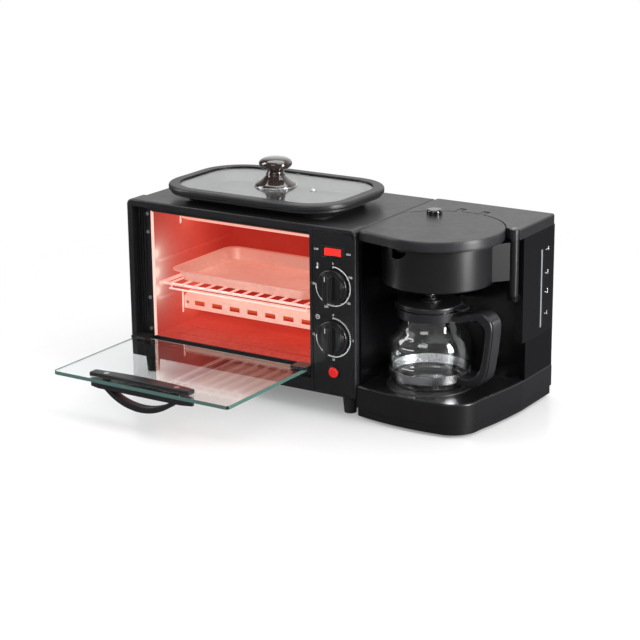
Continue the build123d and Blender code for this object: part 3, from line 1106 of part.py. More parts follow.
with BuildPart() as hinge_pins:
    for lug_x in LUG_XS:
        bar_x(LID_HINGE_Y, LID_HINGE_Z, lug_x - LUG_WIDTH / 2 - 3, lug_x + LUG_WIDTH / 2 + 3, LID_PIN)
    post(BARREL_X, BARREL_Y, knuckle_top - KNUCKLE + 1.5, BODY_TOP - 4, BARREL_PIN)
save(hinge_pins, "hinge_pins")

# Swing-out basket
BASKET_BACK = BAY_BACK - BASKET_BACK_GAP
BARREL_TOP = TANK_TOP - FIT_GAP


def basket_plan(z, inset):
    """The basket's plan at one height: a circle with a flat back."""
    with BuildSketch(Plane.XY.offset(z)) as plan:
        with Locations((BREW_X, BREW_Y)):
            Circle(BASKET_RADIUS - inset)
        with Locations((BREW_X, BASKET_BACK - inset + 50)):
            Rectangle(4 * BASKET_RADIUS, 100, mode=Mode.SUBTRACT)
    return plan.sketch.face()


with BuildPart() as basket_holder:
    extrude(basket_plan(BASKET_BOTTOM, 0), amount=BASKET_TOP - BASKET_BOTTOM)
    fillet(basket_holder.faces().sort_by(Axis.Z)[0].edges(), 2.0)
    # the hinge arm runs out to its barrel
    with BuildSketch(Plane.XY.offset(BASKET_BOTTOM + 3)):
        with BuildLine():
            Polyline((BREW_X + 48, BREW_Y - 6), (BARREL_X - 2, BARREL_Y - BARREL_RADIUS + 0.4),
                     (BARREL_X - 1, BARREL_Y + BARREL_RADIUS - 0.3), (BREW_X + 40,
                                                                      BASKET_BACK - 1), close=True)
        make_face()
    extrude(amount=BASKET_TOP - BASKET_BOTTOM - 3)
    post(BARREL_X, BARREL_Y, BARREL_BOTTOM, BARREL_TOP, BARREL_RADIUS)
    extrude(basket_plan(BASKET_BOTTOM + BASKET_WALL, BASKET_WALL), amount=BASKET_TOP - BASKET_BOTTOM,
            mode=Mode.SUBTRACT)
    # thumb recess in the rim, the drip hole and a short skirt round it
    with Locations(Location((BREW_X - 22, BREW_Y - BASKET_RADIUS + 2, BASKET_TOP + 8), (90, 0, 0))):
        Cylinder(20, 14, mode=Mode.SUBTRACT)
    post(CARAFE_X, CARAFE_Y, BASKET_BOTTOM - 4, BASKET_BOTTOM, 10)
    post(CARAFE_X, CARAFE_Y, BASKET_BOTTOM - 4, BASKET_BOTTOM, 8, Mode.SUBTRACT)
    post(CARAFE_X, CARAFE_Y, BASKET_BOTTOM, BASKET_BOTTOM + BASKET_WALL, VALVE_RADIUS + 0.4, Mode.SUBTRACT)
    post(BARREL_X, BARREL_Y, BARREL_BOTTOM, BARREL_TOP, BARREL_PIN + SHAFT_CLEARANCE, Mode.SUBTRACT)
save(basket_holder, "basket_holder")

INSERT_Z0 = BASKET_BOTTOM + BASKET_WALL
with BuildPart() as filter_insert:
    with BuildSketch(Plane.XZ.offset(-CARAFE_Y)):
        with BuildLine():
            foot_out = CARAFE_X + INSERT_FOOT
            rim_out = CARAFE_X + INSERT_RADIUS
            Polyline((foot_out, INSERT_Z0), (foot_out, INSERT_Z0 + 6.5), (rim_out, BASKET_TOP - 3),
                     (rim_out + 2, BASKET_TOP - 3), (rim_out + 2, BASKET_TOP - 1.4),
                     (rim_out - INSERT_WALL, BASKET_TOP - 1.4), (foot_out - INSERT_WALL, INSERT_Z0 + 7.5),
                     (foot_out - INSERT_WALL, INSERT_Z0), close=True)
        make_face()
    revolve(axis=Axis((CARAFE_X, CARAFE_Y, 0), (0, 0, 1)))
    # flow slots at the foot
    with Locations((CARAFE_X, CARAFE_Y, INSERT_Z0 + 1.5)):
        Box(4 * INSERT_FOOT, 3, 3, mode=Mode.SUBTRACT)
        Box(3, 4 * INSERT_FOOT, 3, mode=Mode.SUBTRACT)
save(filter_insert, "filter_insert")

CARAFE_BASE = PLATE_TOP
CAP_Z0 = CARAFE_BASE + CARAFE_HEIGHT + FIT_GAP
CAP_TOP = CAP_Z0 + CAP_THICK
BOSS_TOP = CAP_TOP + CAP_BOSS_HEIGHT
VALVE_Z0 = BOSS_TOP + FIT_GAP
VALVE_FOOT_THICK = 2.0
SEAT_Z = INSERT_Z0 + VALVE_LIFT

with BuildPart() as drip_valve:
    post(CARAFE_X, CARAFE_Y, VALVE_Z0, VALVE_Z0 + VALVE_FOOT_THICK, VALVE_FOOT)
    post(CARAFE_X, CARAFE_Y, VALVE_Z0 + VALVE_FOOT_THICK, SEAT_Z, VALVE_RADIUS)
    post(CARAFE_X, CARAFE_Y, SEAT_Z, SEAT_Z + 2, VALVE_HEAD)
save(drip_valve, "drip_valve")

SPRING_Z0 = VALVE_Z0 + VALVE_FOOT_THICK + SPRING_WIRE + 0.1
SPRING_HEIGHT = BASKET_BOTTOM - SPRING_WIRE - 0.1 - SPRING_Z0
with BuildPart() as drip_spring:
    with BuildLine() as coil:
        Helix(pitch=SPRING_HEIGHT / SPRING_TURNS, height=SPRING_HEIGHT, radius=SPRING_COIL,
              center=(CARAFE_X, CARAFE_Y, SPRING_Z0))
    with BuildSketch(Plane(origin=coil.line @ 0, z_dir=coil.line % 0)):
        Circle(SPRING_WIRE)
    sweep(is_frenet=True)
save(drip_spring, "drip_spring")

# Carafe: sketched on an upright plane through its axis and its handle
TURN = radians(GRIP_TURN)
CARAFE_PLANE = Plane(origin=(CARAFE_X, CARAFE_Y, CARAFE_BASE), x_dir=(cos(TURN), sin(TURN), 0),
                     z_dir=(sin(TURN), -cos(TURN), 0))
CARAFE_AXIS = Axis((CARAFE_X, CARAFE_Y, 0), (0, 0, 1))
WAIST_LOW = 43.8
WAIST_HIGH = 45.6
WAIST_Z0 = 9.0
WAIST_Z1 = 21.0

with BuildPart() as carafe_glass:
    with BuildSketch(CARAFE_PLANE):
        with BuildLine():
            wall = CARAFE_WALL
            Line((0, 0), (36, 0))
            Spline((36, 0), (41.5, 2.5), (WAIST_LOW, WAIST_Z0), tangents=[(1, 0), (0.15, 1)])
            Line((WAIST_LOW, WAIST_Z0), (WAIST_HIGH, WAIST_Z1))
            Spline((WAIST_HIGH, WAIST_Z1), (46.6, 34), (43, 57), (CARAFE_NECK, 76),
                   tangents=[(0.15, 1), (0, 1)])
            Line((CARAFE_NECK, 76), (CARAFE_NECK, CARAFE_HEIGHT))
            Line((CARAFE_NECK, CARAFE_HEIGHT), (CARAFE_NECK - wall, CARAFE_HEIGHT))
            Line((CARAFE_NECK - wall, CARAFE_HEIGHT), (CARAFE_NECK - wall, 76))
            Spline((CARAFE_NECK - wall, 76), (43 - wall, 56.3), (46.6 - wall, 34),
                   (WAIST_HIGH - wall, WAIST_Z1),
                   tangents=[(0, -1), (-0.15, -1)])
            Line((WAIST_HIGH - wall, WAIST_Z1), (WAIST_LOW - wall, WAIST_Z0))
            Spline((WAIST_LOW - wall, WAIST_Z0), (40, 4.2), (35, wall), tangents=[(-0.15, -1), (-1, 0)])
            Line((35, wall), (0, wall))
            Line((0, wall), (0, 0))
        make_face()
    revolve(axis=CARAFE_AXIS)
save(carafe_glass, "carafe_glass")

WAIST_TAPER = (WAIST_HIGH - WAIST_LOW) / (WAIST_Z1 - WAIST_Z0)
BAND_R0 = WAIST_LOW + (BAND_LOW - WAIST_Z0) * WAIST_TAPER
BAND_R1 = WAIST_LOW + (BAND_HIGH - WAIST_Z0) * WAIST_TAPER
with BuildPart() as carafe_band:
    with BuildSketch(CARAFE_PLANE):
        with BuildLine():
            Polyline((BAND_R0, BAND_LOW), (BAND_R1, BAND_HIGH), (BAND_R1 + BAND_THICK, BAND_HIGH),
                     (BAND_R0 + BAND_THICK, BAND_LOW), close=True)
        make_face()
    revolve(axis=CARAFE_AXIS)
save(carafe_band, "carafe_band")


def grip_section(skin):
    """The handle's D outline, its outer curve grown by a skin thickness."""
    with BuildSketch(CARAFE_PLANE) as section:
        with BuildLine():
            outer = Spline((35, 87.5 + skin), (52, 89.5 + skin), (73, 94 + skin), (83.5 + skin, 88 + skin),
                           (GRIP_REACH + skin, 68), (82 + skin, 38), (73 + skin, 14 - skin), (60, 7 - skin),
                           (42, 10 - skin))
            inner = Spline((35, 80), (52, 81.5), (70, 84), (76.5, 78), (77.5, 64), (74.5, 42), (67, 23),
                           (58, 17),
                           (42, 19.5))
            Line(outer @ 0, inner @ 0)
            Line(outer @ 1, inner @ 1)
        make_face()
    return section.sketch.face()


with BuildPart() as carafe_handle:
    extrude(grip_section(0), amount=GRIP_WIDTH / 2, both=True)
    fillet(carafe_handle.edges().filter_by(GeomType.BSPLINE), 2.0)
    post(CARAFE_X, CARAFE_Y, CARAFE_BASE + COLLAR_LOW, CARAFE_BASE + COLLAR_HIGH, CARAFE_NECK + COLLAR_WALL)
    with BuildSketch(Plane.XY.offset(CARAFE_BASE + COLLAR_LOW + 2)):
        with BuildLine():
            Polyline((CARAFE_X - CARAFE_NECK + 4, CARAFE_Y - 15),
                     (CARAFE_X - CARAFE_NECK - 11, CARAFE_Y - 3),
                     (CARAFE_X - CARAFE_NECK - 11, CARAFE_Y + 3), (CARAFE_X - CARAFE_NECK + 4,
                                                                   CARAFE_Y + 15),
                     close=True)
        make_face()
    extrude(amount=COLLAR_HIGH - COLLAR_LOW - 2)
    post(CARAFE_X, CARAFE_Y, CARAFE_BASE + COLLAR_LOW - 8, CARAFE_BASE + CARAFE_HEIGHT + 8, CARAFE_NECK,
         Mode.SUBTRACT)
    # the lower end is hollowed to sit on the steel band
    with Locations((CARAFE_X, CARAFE_Y, CARAFE_BASE + (WAIST_Z0 + WAIST_Z1) / 2)):
        Cone(WAIST_LOW - 6 * WAIST_TAPER + BAND_THICK, WAIST_HIGH + 6 * WAIST_TAPER + BAND_THICK,
             WAIST_Z1 - WAIST_Z0 + 12, mode=Mode.SUBTRACT)
save(carafe_handle, "carafe_handle")

with BuildPart() as carafe_handle_trim:
    extrude(grip_section(TRIM_SKIN), amount=GRIP_WIDTH / 2 - 3, both=True)
    extrude(grip_section(0), amount=GRIP_WIDTH, both=True, mode=Mode.SUBTRACT)
    with Locations((CARAFE_X + 100, CARAFE_Y, CARAFE_BASE + 52)):
        Box(60, 60, 70, mode=Mode.INTERSECT)
save(carafe_handle_trim, "carafe_handle_trim")

with BuildPart() as carafe_lid:
    post(CARAFE_X, CARAFE_Y, CAP_Z0, CAP_TOP, CAP_RADIUS)
    fillet(carafe_lid.faces().sort_by(Axis.Z)[-1].edges(), 2.0)
    post(CARAFE_X, CARAFE_Y, CAP_TOP - 2, BOSS_TOP, CAP_BOSS)
    post(CARAFE_X, CARAFE_Y, CAP_Z0 - 6, CAP_Z0, CARAFE_NECK - CARAFE_WALL - 0.5)
    post(CARAFE_X, CARAFE_Y, CAP_Z0 - 6, CAP_TOP - 2.5, CARAFE_NECK - CARAFE_WALL - 2.5, Mode.SUBTRACT)
    with Locations((CARAFE_X, CARAFE_Y, BOSS_TOP)):
        with PolarLocations(8.8, 6):
            Cylinder(1.3, 12, mode=Mode.SUBTRACT)
    # thumb tab over the handle
    with BuildSketch(Plane.XY.offset(CAP_Z0 + 1.5)):
        with Locations(Location((CARAFE_X, CARAFE_Y, 0), (0, 0, GRIP_TURN))):
            with Locations((CAP_RADIUS + 3, 0)):
                RectangleRounded(16, 16, 3)
    extrude(amount=2.5)
save(carafe_lid, "carafe_lid")
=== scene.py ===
"""Looks of the three-in-one breakfast maker: finishes for every CAD node, printed marks and small fittings."""

import logging
import math
from dataclasses import dataclass, field
from enum import Enum
from typing import Sequence

import bmesh
import bpy
import numpy as np
from mathutils import Matrix, Vector


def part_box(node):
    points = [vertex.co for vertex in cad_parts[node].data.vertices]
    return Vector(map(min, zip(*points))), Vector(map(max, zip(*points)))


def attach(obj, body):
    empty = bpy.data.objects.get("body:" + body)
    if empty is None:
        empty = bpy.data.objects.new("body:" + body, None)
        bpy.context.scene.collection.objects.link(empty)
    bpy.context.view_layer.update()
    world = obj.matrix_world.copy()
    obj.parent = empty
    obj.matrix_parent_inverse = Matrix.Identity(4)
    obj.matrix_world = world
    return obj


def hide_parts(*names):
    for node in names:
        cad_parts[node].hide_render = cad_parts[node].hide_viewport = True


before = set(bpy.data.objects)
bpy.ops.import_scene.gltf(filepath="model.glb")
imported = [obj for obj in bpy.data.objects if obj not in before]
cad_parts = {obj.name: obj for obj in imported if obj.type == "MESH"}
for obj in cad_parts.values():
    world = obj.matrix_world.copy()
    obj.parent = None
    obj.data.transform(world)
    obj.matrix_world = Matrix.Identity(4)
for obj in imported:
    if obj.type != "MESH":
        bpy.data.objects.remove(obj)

LOG = logging.getLogger("breakfast_maker")
MM = 0.001
INK_LIFT = 0.00012
MERGE_REACH = 1e-7
CLOUD_CELLS = 26.0
WEAR_CELLS = 140.0
GRAIN_DEPTH = 0.00025
COAT_ROUGHNESS = 0.06
CUT_DEPTH = 0.0007
# How far each heater rod's painted light reaches on the oven's sheet metal.
ROD_REACH = 0.030
# Reach and colour of the painted highlights laid on the cavity's lining.
PAINTED_GLINT_REACH = 0.0070
PAINTED_GLINT_COLOUR = (1.15, 0.82, 0.70)
MOUTH_FADE = (0.045, 0.004)
HOT_END = 13 * MM
HEATER_MARGIN = 7 * MM
# Heights at which a painted highlight is laid on each ledge of the lining.
LEDGE_GLINT_HEIGHTS = (0.104, 0.127, 0.150)

Socket = bpy.types.NodeSocket
Point = tuple[float, float, float]


class Grain(Enum):
    """How a surface's fine texture is laid."""

    MOULDED = "moulded"
    ORANGE_PEEL = "orange_peel"
    BRUSHED_X = "brushed_x"
    BRUSHED_Z = "brushed_z"
    SPECKLED = "speckled"
    PLAIN = "plain"


class Facing(Enum):
    """The way a printed mark or a turned piece looks."""

    FRONT = "front"
    RIGHT = "right"
    UP = "up"


@dataclass(frozen=True)
class Finish:
    """One procedural surface finish.

    Attributes:
        spread: how far the roughness wanders either side of its mean.
        scale: grain cells per metre.
        bump: height of the grain, as a share of its strength.
        edge: radius that softens edges, in metres.
        glow: emission colour and strength, or None.
        second: second colour that the grain mixes in, or None for a slightly lighter one.
    """

    name: str
    colour: Point
    metallic: float = 0.0
    roughness: float = 0.4
    spread: float = 0.06
    grain: Grain = Grain.MOULDED
    scale: float = 900.0
    bump: float = 0.12
    coat: float = 0.0
    edge: float = 0.0006
    glow: tuple[Point, float] | None = None
    second: Point | None = None
    specular: float = 0.5


@dataclass(frozen=True)
class GlassFinish:
    """A clear finish with a tinted cut edge and a free way for shadow rays.

    Attributes:
        tint: colour of light through the body.
        edge_tint: colour at the plate's cut edges.
        half: half sizes of the plate in X and Y, or None for a blown piece.
        centre: centre of the plate in X and Y.
        shadow: share of light let through to what is behind.
    """

    name: str
    tint: Point
    edge_tint: Point = (0.055, 0.115, 0.10)
    half: tuple[float, float] | None = None
    centre: tuple[float, float] = (0.0, 0.0)
    shadow: float = 0.86


class Shader:
    """Builds the node tree of one material, or of the world, a node at a time."""

    def __init__(self, owner: bpy.types.Material | bpy.types.World, output: str = "OutputMaterial") -> None:
        """Starts an empty tree.

        Args:
            owner: the material or the world.
            output: its output node's type name.
        """
        self.owner = owner
        owner.use_nodes = True
        self.tree = owner.node_tree
        self.tree.nodes.clear()
        self.output = self.node(output)
        self._coords: Socket | None = None

    @classmethod
    def named(cls, name: str) -> "Shader":
        """Starts a new material."""
        return cls(bpy.data.materials.new(name))

    def node(self, kind: str, inputs: dict[str | int, object] | None = None, **settings: object) -> bpy.types.Node:
        """Adds a node, sets its properties and fills or links its inputs.

        Args:
            kind: the node's type name without the ShaderNode prefix.
            inputs: socket name or index to a value or to another node's socket.
            **settings: properties of the node.

        Returns:
            The new node.
        """
        made = self.tree.nodes.new("ShaderNode" + kind)
        for key, value in settings.items():
            setattr(made, key, value)
        for key, value in (inputs or {}).items():
            self.feed(made.inputs[key], value)
        return made

    def out(self, kind: str, inputs: dict[str | int, object], **settings: object) -> Socket:
        """Adds a node and gives its first output."""
        return self.node(kind, inputs, **settings).outputs[0]

    def feed(self, socket: Socket, value: object) -> None:
        """Links a socket, or sets its constant.

        Args:
            socket: the input to fill.
            value: another node's output, a number or a colour.
        """
        if isinstance(value, bpy.types.NodeSocket):
            self.tree.links.new(value, socket)
        elif isinstance(value, tuple) and len(value) == 3 and socket.type == "RGBA":
            socket.default_value = (*value, 1.0)
        else:
            socket.default_value = value

    def math(self, operation: str, *values: object, clamp: bool = False) -> Socket:
        """One math node on values given in order, held from 0 to 1 if clamp is set."""
        return self.out("Math", dict(enumerate(values)), operation=operation, use_clamp=clamp)

    def mix(self, factor: object, first: object, second: object) -> Socket:
        """Mixes two colours, by the share of the second."""
        return self.node("Mix", {"Factor": factor, 6: first, 7: second}, data_type="RGBA").outputs[2]

    def coords(self) -> Socket:
        """The object coordinates, which are the row frame in metres.

        Returns:
            Their socket, made once.
        """
        if self._coords is None:
            self._coords = self.node("TexCoord").outputs["Object"]
        return self._coords

    def stretched(self, factors: Point) -> Socket:
        """Object coordinates scaled apart along X, Y and Z."""
        return self.out("Mapping", {"Vector": self.coords(), "Scale": Vector(factors)})

    def noise(self, scale: float, detail: float = 3.0, vector: Socket | None = None) -> Socket:
        """Fractal noise, with scale cells per metre and detail octaves."""
        places = vector or self.coords()
        return self.out("TexNoise", {"Vector": places, "Scale": scale, "Detail": detail, "Roughness": 0.55})

    def ramp(self, factor: Socket, stops: Sequence[tuple[float, Point]]) -> Socket:
        """A colour ramp.

        Args:
            factor: the ramp's input.
            stops: position and colour of each stop.

        Returns:
            The ramp's colour.
        """
        made = self.node("ValToRGB", {"Fac": factor})
        elements = made.color_ramp.elements
        while len(elements) < len(stops):
            elements.new(0.5)
        for element, (position, colour) in zip(elements, stops):
            element.position = position
            element.color = (*colour, 1.0)
        return made.outputs[0]

    def finish(self, surface: Socket) -> bpy.types.Material | bpy.types.World:
        """Links the last shader to the output and gives the material or world."""
        self.tree.links.new(surface, self.output.inputs["Surface"])
        return self.owner


STRETCH: dict[Grain, Point] = {
    Grain.BRUSHED_X: (0.02, 1.0, 1.0),
    Grain.BRUSHED_Z: (1.0, 1.0, 0.02),
}


def opaque(finish: Finish) -> bpy.types.Material:
    """Builds an opaque material: colour and roughness drift with noise, and a fine grain bumps it.

    Args:
        finish: what the surface is like.

    Returns:
        The material.
    """
    s = Shader.named(finish.name)
    vector = s.stretched(STRETCH[finish.grain]) if finish.grain in STRETCH else s.coords()
    fine = s.noise(finish.scale, 2.0, vector)
    cloud = s.noise(CLOUD_CELLS)
    wear = s.noise(WEAR_CELLS, 4.0)
    second = finish.second or tuple(min(1.0, c * 1.35 + 0.004) for c in finish.colour)
    if finish.grain is Grain.SPECKLED:
        flecks = s.node("TexVoronoi", {"Vector": s.coords(), "Scale": finish.scale}).outputs["Distance"]
        colour = s.mix(s.math("LESS_THAN", flecks, 0.16), finish.colour, second)
    else:
        drift = s.math("MULTIPLY", s.math("SUBTRACT", cloud, 0.35, clamp=True), 0.9)
        colour = s.mix(drift, finish.colour, second)
    wander = s.math("ADD", s.math("MULTIPLY", cloud, 0.5), s.math("MULTIPLY", wear, 0.5))
    rough = s.math("MULTIPLY_ADD", s.math("SUBTRACT", wander, 0.5), finish.spread * 4.0, finish.roughness, clamp=True)
    soft = s.out("Bevel", {"Radius": finish.edge}, samples=4)
    height = fine if finish.grain is not Grain.PLAIN else wear
    bumped = s.out("Bump", {"Height": height, "Strength": finish.bump, "Distance": GRAIN_DEPTH, "Normal": soft})
    inputs: dict[str, object] = {
        "Base Color": colour,
        "Metallic": finish.metallic,
        "Roughness": rough,
        "Normal": bumped,
        "Specular IOR Level": finish.specular,
        "Coat Weight": finish.coat,
        "Coat Roughness": COAT_ROUGHNESS,
    }
    if finish.glow:
        inputs["Emission Color"], inputs["Emission Strength"] = finish.glow
    return s.finish(s.out("BsdfPrincipled", inputs))


def clear(finish: GlassFinish) -> bpy.types.Material:
    """Builds a clear material whose cut edges are tinted.

    Args:
        finish: what the glass is like.

    Returns:
        The material.
    """
    s = Shader.named(finish.name)
    cut: Socket | None = None
    if finish.half:
        parts = s.node("SeparateXYZ", {"Vector": s.coords()})
        reach = []
        for axis in range(2):
            away = s.math("ABSOLUTE", s.math("SUBTRACT", parts.outputs[axis], finish.centre[axis]))
            reach.append(s.math("GREATER_THAN", away, finish.half[axis] - CUT_DEPTH))
        cut = s.math("MAXIMUM", *reach)
    ripple = s.out("Bump", {"Height": s.noise(22.0, 1.0), "Strength": 0.02, "Distance": 0.001})
    smears = s.math("MULTIPLY", s.math("GREATER_THAN", s.noise(60.0, 5.0), 0.62), 0.05)
    body = {"Base Color": finish.tint, "Roughness": smears, "IOR": 1.48, "Transmission Weight": 1.0, "Normal": ripple}
    glass = s.out("BsdfPrincipled", body)
    if cut is not None:
        ground = s.out("BsdfPrincipled", {"Base Color": finish.edge_tint, "Roughness": 0.22, "Coat Weight": 0.5})
        glass = s.out("MixShader", {"Fac": cut, 1: glass, 2: ground})
    through = s.out("BsdfTransparent", {"Color": tuple(finish.shadow * c for c in finish.tint)})
    rays = s.node("LightPath")
    free = s.math("MAXIMUM", rays.outputs["Is Shadow Ray"], rays.outputs["Is Diffuse Ray"])
    return s.finish(s.out("MixShader", {"Fac": free, 1: glass, 2: through}))


@dataclass(frozen=True)
class Glow:
    """How sheet metal inside the oven shows the heaters' light, painted on as glow.

    Attributes:
        metal: the bare metal's colour, where it is lit.
        cool, warm, hot: painted light far from the rods, between and close to them.
        power: overall brightness of the painted glow.
        painted_glints: points of the lining where a painted highlight is laid, in metres.
        room: corners of the space inside the lining, beyond which nothing is lit, or None.
        mouth: Y of the oven's opening for a piece that slides out of the light, or None.
        plain: the metal's colour where it is unlit.
    """

    name: str
    metal: Point
    cool: Point
    warm: Point
    hot: Point
    power: float
    painted_glints: Sequence[Point] = ()
    room: tuple[Vector, Vector] | None = None
    mouth: float | None = None
    plain: Point = (0.10, 0.10, 0.10)


def lit_sheet(glow: Glow, heaters: Sequence[tuple[float, float]]) -> bpy.types.Material:
    """Plated sheet with the heater rods' light painted on as glow: each rod's painted light falls off with distance.

    Args:
        glow: its metal and its light.
        heaters: Y and Z of each rod.

    Returns:
        The material.
    """
    s = Shader.named(glow.name)
    parts = s.node("SeparateXYZ", {"Vector": s.coords()})
    light: Socket | None = None
    for y, z in heaters:
        dy = s.math("SUBTRACT", parts.outputs[1], y)
        dz = s.math("SUBTRACT", parts.outputs[2], z)
        away = s.math("SQRT", s.math("ADD", s.math("MULTIPLY", dy, dy), s.math("MULTIPLY", dz, dz)))
        near = s.math("DIVIDE", ROD_REACH, s.math("ADD", away, ROD_REACH))
        light = near if light is None else s.math("ADD", light, near)
    spangle = s.node("TexVoronoi", {"Vector": s.coords(), "Scale": 240.0}).outputs["Color"]
    fleck = s.out("SeparateColor", {"Color": spangle})
    soot = s.noise(18.0, 3.0)
    # The rods' painted light, made patchy by the soot noise.
    rod_light_paint = s.math("MULTIPLY", light, s.math("MULTIPLY_ADD", soot, 0.45, 0.75))
    lit = s.ramp(rod_light_paint, ((0.45, glow.cool), (0.72, glow.warm), (1.05, glow.hot)))
    lit = s.mix(s.math("MULTIPLY", fleck, 0.10), lit, glow.cool)
    # Painted highlights: round each point the glow turns towards a pale glint colour.
    for glint in glow.painted_glints:
        offset = s.node("VectorMath", {0: s.coords(), 1: Vector(glint)}, operation="DISTANCE").outputs["Value"]
        halo = s.math("POWER", s.math("DIVIDE", PAINTED_GLINT_REACH, s.math("ADD", offset, PAINTED_GLINT_REACH)), 2.2)
        lit = s.mix(s.math("MULTIPLY", halo, 2.8, clamp=True), lit, PAINTED_GLINT_COLOUR)
    bare: object = s.mix(s.math("MULTIPLY", fleck, 0.3), glow.metal, tuple(c * 0.7 for c in glow.metal))
    power: object = glow.power
    within: Socket | None = None
    if glow.mouth is not None:
        depth = s.node("SeparateXYZ", {"Vector": s.node("NewGeometry").outputs["Position"]}).outputs[1]
        start, end = glow.mouth - MOUTH_FADE[0], glow.mouth + MOUTH_FADE[1]
        within = s.out("MapRange", {"Value": depth, "From Min": start, "From Max": end})
    if glow.room:
        for axis in range(3):
            middle = (glow.room[0][axis] + glow.room[1][axis]) / 2
            away = s.math("ABSOLUTE", s.math("SUBTRACT", parts.outputs[axis], middle))
            near = s.math("LESS_THAN", away, (glow.room[1][axis] - glow.room[0][axis]) / 2)
            within = near if within is None else s.math("MULTIPLY", within, near)
    if within is not None:
        power = s.math("MULTIPLY", within, glow.power)
        bare = s.mix(within, glow.plain, bare)
    rough = s.math("MULTIPLY_ADD", fleck, 0.16, 0.30)
    soft = s.out("Bevel", {"Radius": 0.0005}, samples=4)
    bumped = s.out("Bump", {"Height": soot, "Strength": 0.08, "Distance": 0.0006, "Normal": soft})
    surface = {"Base Color": bare, "Metallic": 0.7, "Roughness": rough, "Normal": bumped}
    return s.finish(s.out("BsdfPrincipled", {**surface, "Emission Color": lit, "Emission Strength": power}))


def hot_rod(name: str, left: float, right: float) -> bpy.types.Material:
    """A sheathed rod: orange hot along its middle, ceramic white at its ends.

    Args:
        name: the material's name.
        left: X where the hot part starts.
        right: X where it ends.

    Returns:
        The material.
    """
    s = Shader.named(name)
    x = s.out("SeparateXYZ", {"Vector": s.coords()})
    inside = s.math("MULTIPLY", s.math("GREATER_THAN", x, left), s.math("LESS_THAN", x, right))
    turns = s.node("TexWave", {"Vector": s.coords(), "Scale": 260.0, "Distortion": 0.4}).outputs[1]
    hot = s.mix(turns, (1.0, 0.16, 0.04), (1.0, 0.34, 0.10))
    body = {"Base Color": s.mix(inside, (0.74, 0.70, 0.64), (0.5, 0.06, 0.02)), "Roughness": 0.5}
    glow = {"Emission Color": hot, "Emission Strength": s.math("MULTIPLY", inside, 0.22)}
    return s.finish(s.out("BsdfPrincipled", {**body, **glow}))


FINISHES: tuple[Finish, ...] = (
    Finish("satin_black", (0.0075, 0.0076, 0.0085), roughness=0.33, scale=1500.0, bump=0.10),
    Finish("lid_black", (0.010, 0.010, 0.011), roughness=0.36, scale=1500.0, bump=0.10, edge=0.005),
    Finish("rim_black", (0.008, 0.008, 0.0088), roughness=0.38, scale=1500.0, bump=0.08, edge=0.0028),
    Finish("fine_black", (0.007, 0.007, 0.0075), roughness=0.24, spread=0.03, scale=1200.0, bump=0.04),
    Finish("deep_gloss", (0.0045, 0.0045, 0.005), roughness=0.12, spread=0.02, bump=0.02, coat=0.6),
    Finish("powder_coat", (0.011, 0.011, 0.012), roughness=0.36, grain=Grain.ORANGE_PEEL, scale=700.0, bump=0.2),
    Finish("knob_black", (0.007, 0.007, 0.0075), roughness=0.20, spread=0.03, scale=1600.0, bump=0.06),
    Finish("bronze_gloss", (0.022, 0.015, 0.013), roughness=0.08, spread=0.01, bump=0.01, coat=1.0, edge=0.001),
    Finish("non_stick", (0.010, 0.010, 0.011), roughness=0.38, grain=Grain.SPECKLED, scale=820.0, bump=0.05,
           second=(0.05, 0.05, 0.05)),
    Finish("cast_plate", (0.35, 0.35, 0.36), metallic=1.0, roughness=0.45, scale=500.0, bump=0.3),
    Finish("rubber", (0.012, 0.012, 0.012), roughness=0.72, scale=900.0, bump=0.3),
    Finish("plated_steel", (0.58, 0.57, 0.56), metallic=1.0, roughness=0.30, grain=Grain.PLAIN, bump=0.1,
           edge=0.0002),
    Finish("stainless_round", (0.62, 0.62, 0.63), metallic=1.0, roughness=0.26, grain=Grain.BRUSHED_X,
           scale=1800.0, bump=0.12, edge=0.0002),
    Finish("stainless_trim", (0.13, 0.13, 0.135), metallic=1.0, roughness=0.34, grain=Grain.BRUSHED_Z,
           scale=2200.0, bump=0.14, edge=0.0003),
    Finish("smoked_tank", (0.0030, 0.0030, 0.0034), roughness=0.26, spread=0.02, scale=1100.0, bump=0.03,
           second=(0.0042, 0.0042, 0.0046), specular=0.15),
    # Painted shade: a darker copy of the black plastic, with weak reflections, for the tower shell's carafe bay.
    Finish("bay_shade_black", (0.0015, 0.0015, 0.0018), roughness=0.26, spread=0.02, scale=1200.0, bump=0.02,
           second=(0.0022, 0.0022, 0.0026), specular=0.15),
    Finish("moulded_black", (0.0034, 0.0034, 0.0038), roughness=0.31, spread=0.02, scale=1200.0, bump=0.02,
           second=(0.0046, 0.0046, 0.0050)),
    Finish("gauge_strip", (0.15, 0.155, 0.165), roughness=0.30, spread=0.02, bump=0.02, edge=0.0002),
    Finish("silicone", (0.72, 0.70, 0.66), roughness=0.5, bump=0.1),
    Finish("lamp_red", (0.55, 0.008, 0.008), roughness=0.10, spread=0.01, bump=0.02, coat=1.0,
           glow=((0.8, 0.03, 0.03), 0.14)),
    Finish("rocker_red", (0.70, 0.012, 0.008), roughness=0.16, spread=0.02, bump=0.02, coat=0.8,
           glow=((1.0, 0.05, 0.03), 0.26)),
    Finish("ink_white", (0.78, 0.78, 0.77), roughness=0.55, scale=3000.0, bump=0.02, edge=0.00002),
    Finish("ink_grey", (0.50, 0.50, 0.50), roughness=0.5, scale=3000.0, bump=0.02, edge=0.00002),
    # Near-black paint for the shade inside the screws' recesses.
    Finish("recess_shade_black", (0.002, 0.002, 0.002), roughness=0.8, bump=0.02, edge=0.00002),
)


def plate(node: str) -> dict[str, tuple[float, float]]:
    """The half sizes and centre of a CAD node's box in X and Y, as a glass finish takes them."""
    lo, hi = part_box(node)
    return {"half": ((hi.x - lo.x) / 2, (hi.y - lo.y) / 2), "centre": ((hi.x + lo.x) / 2, (hi.y + lo.y) / 2)}


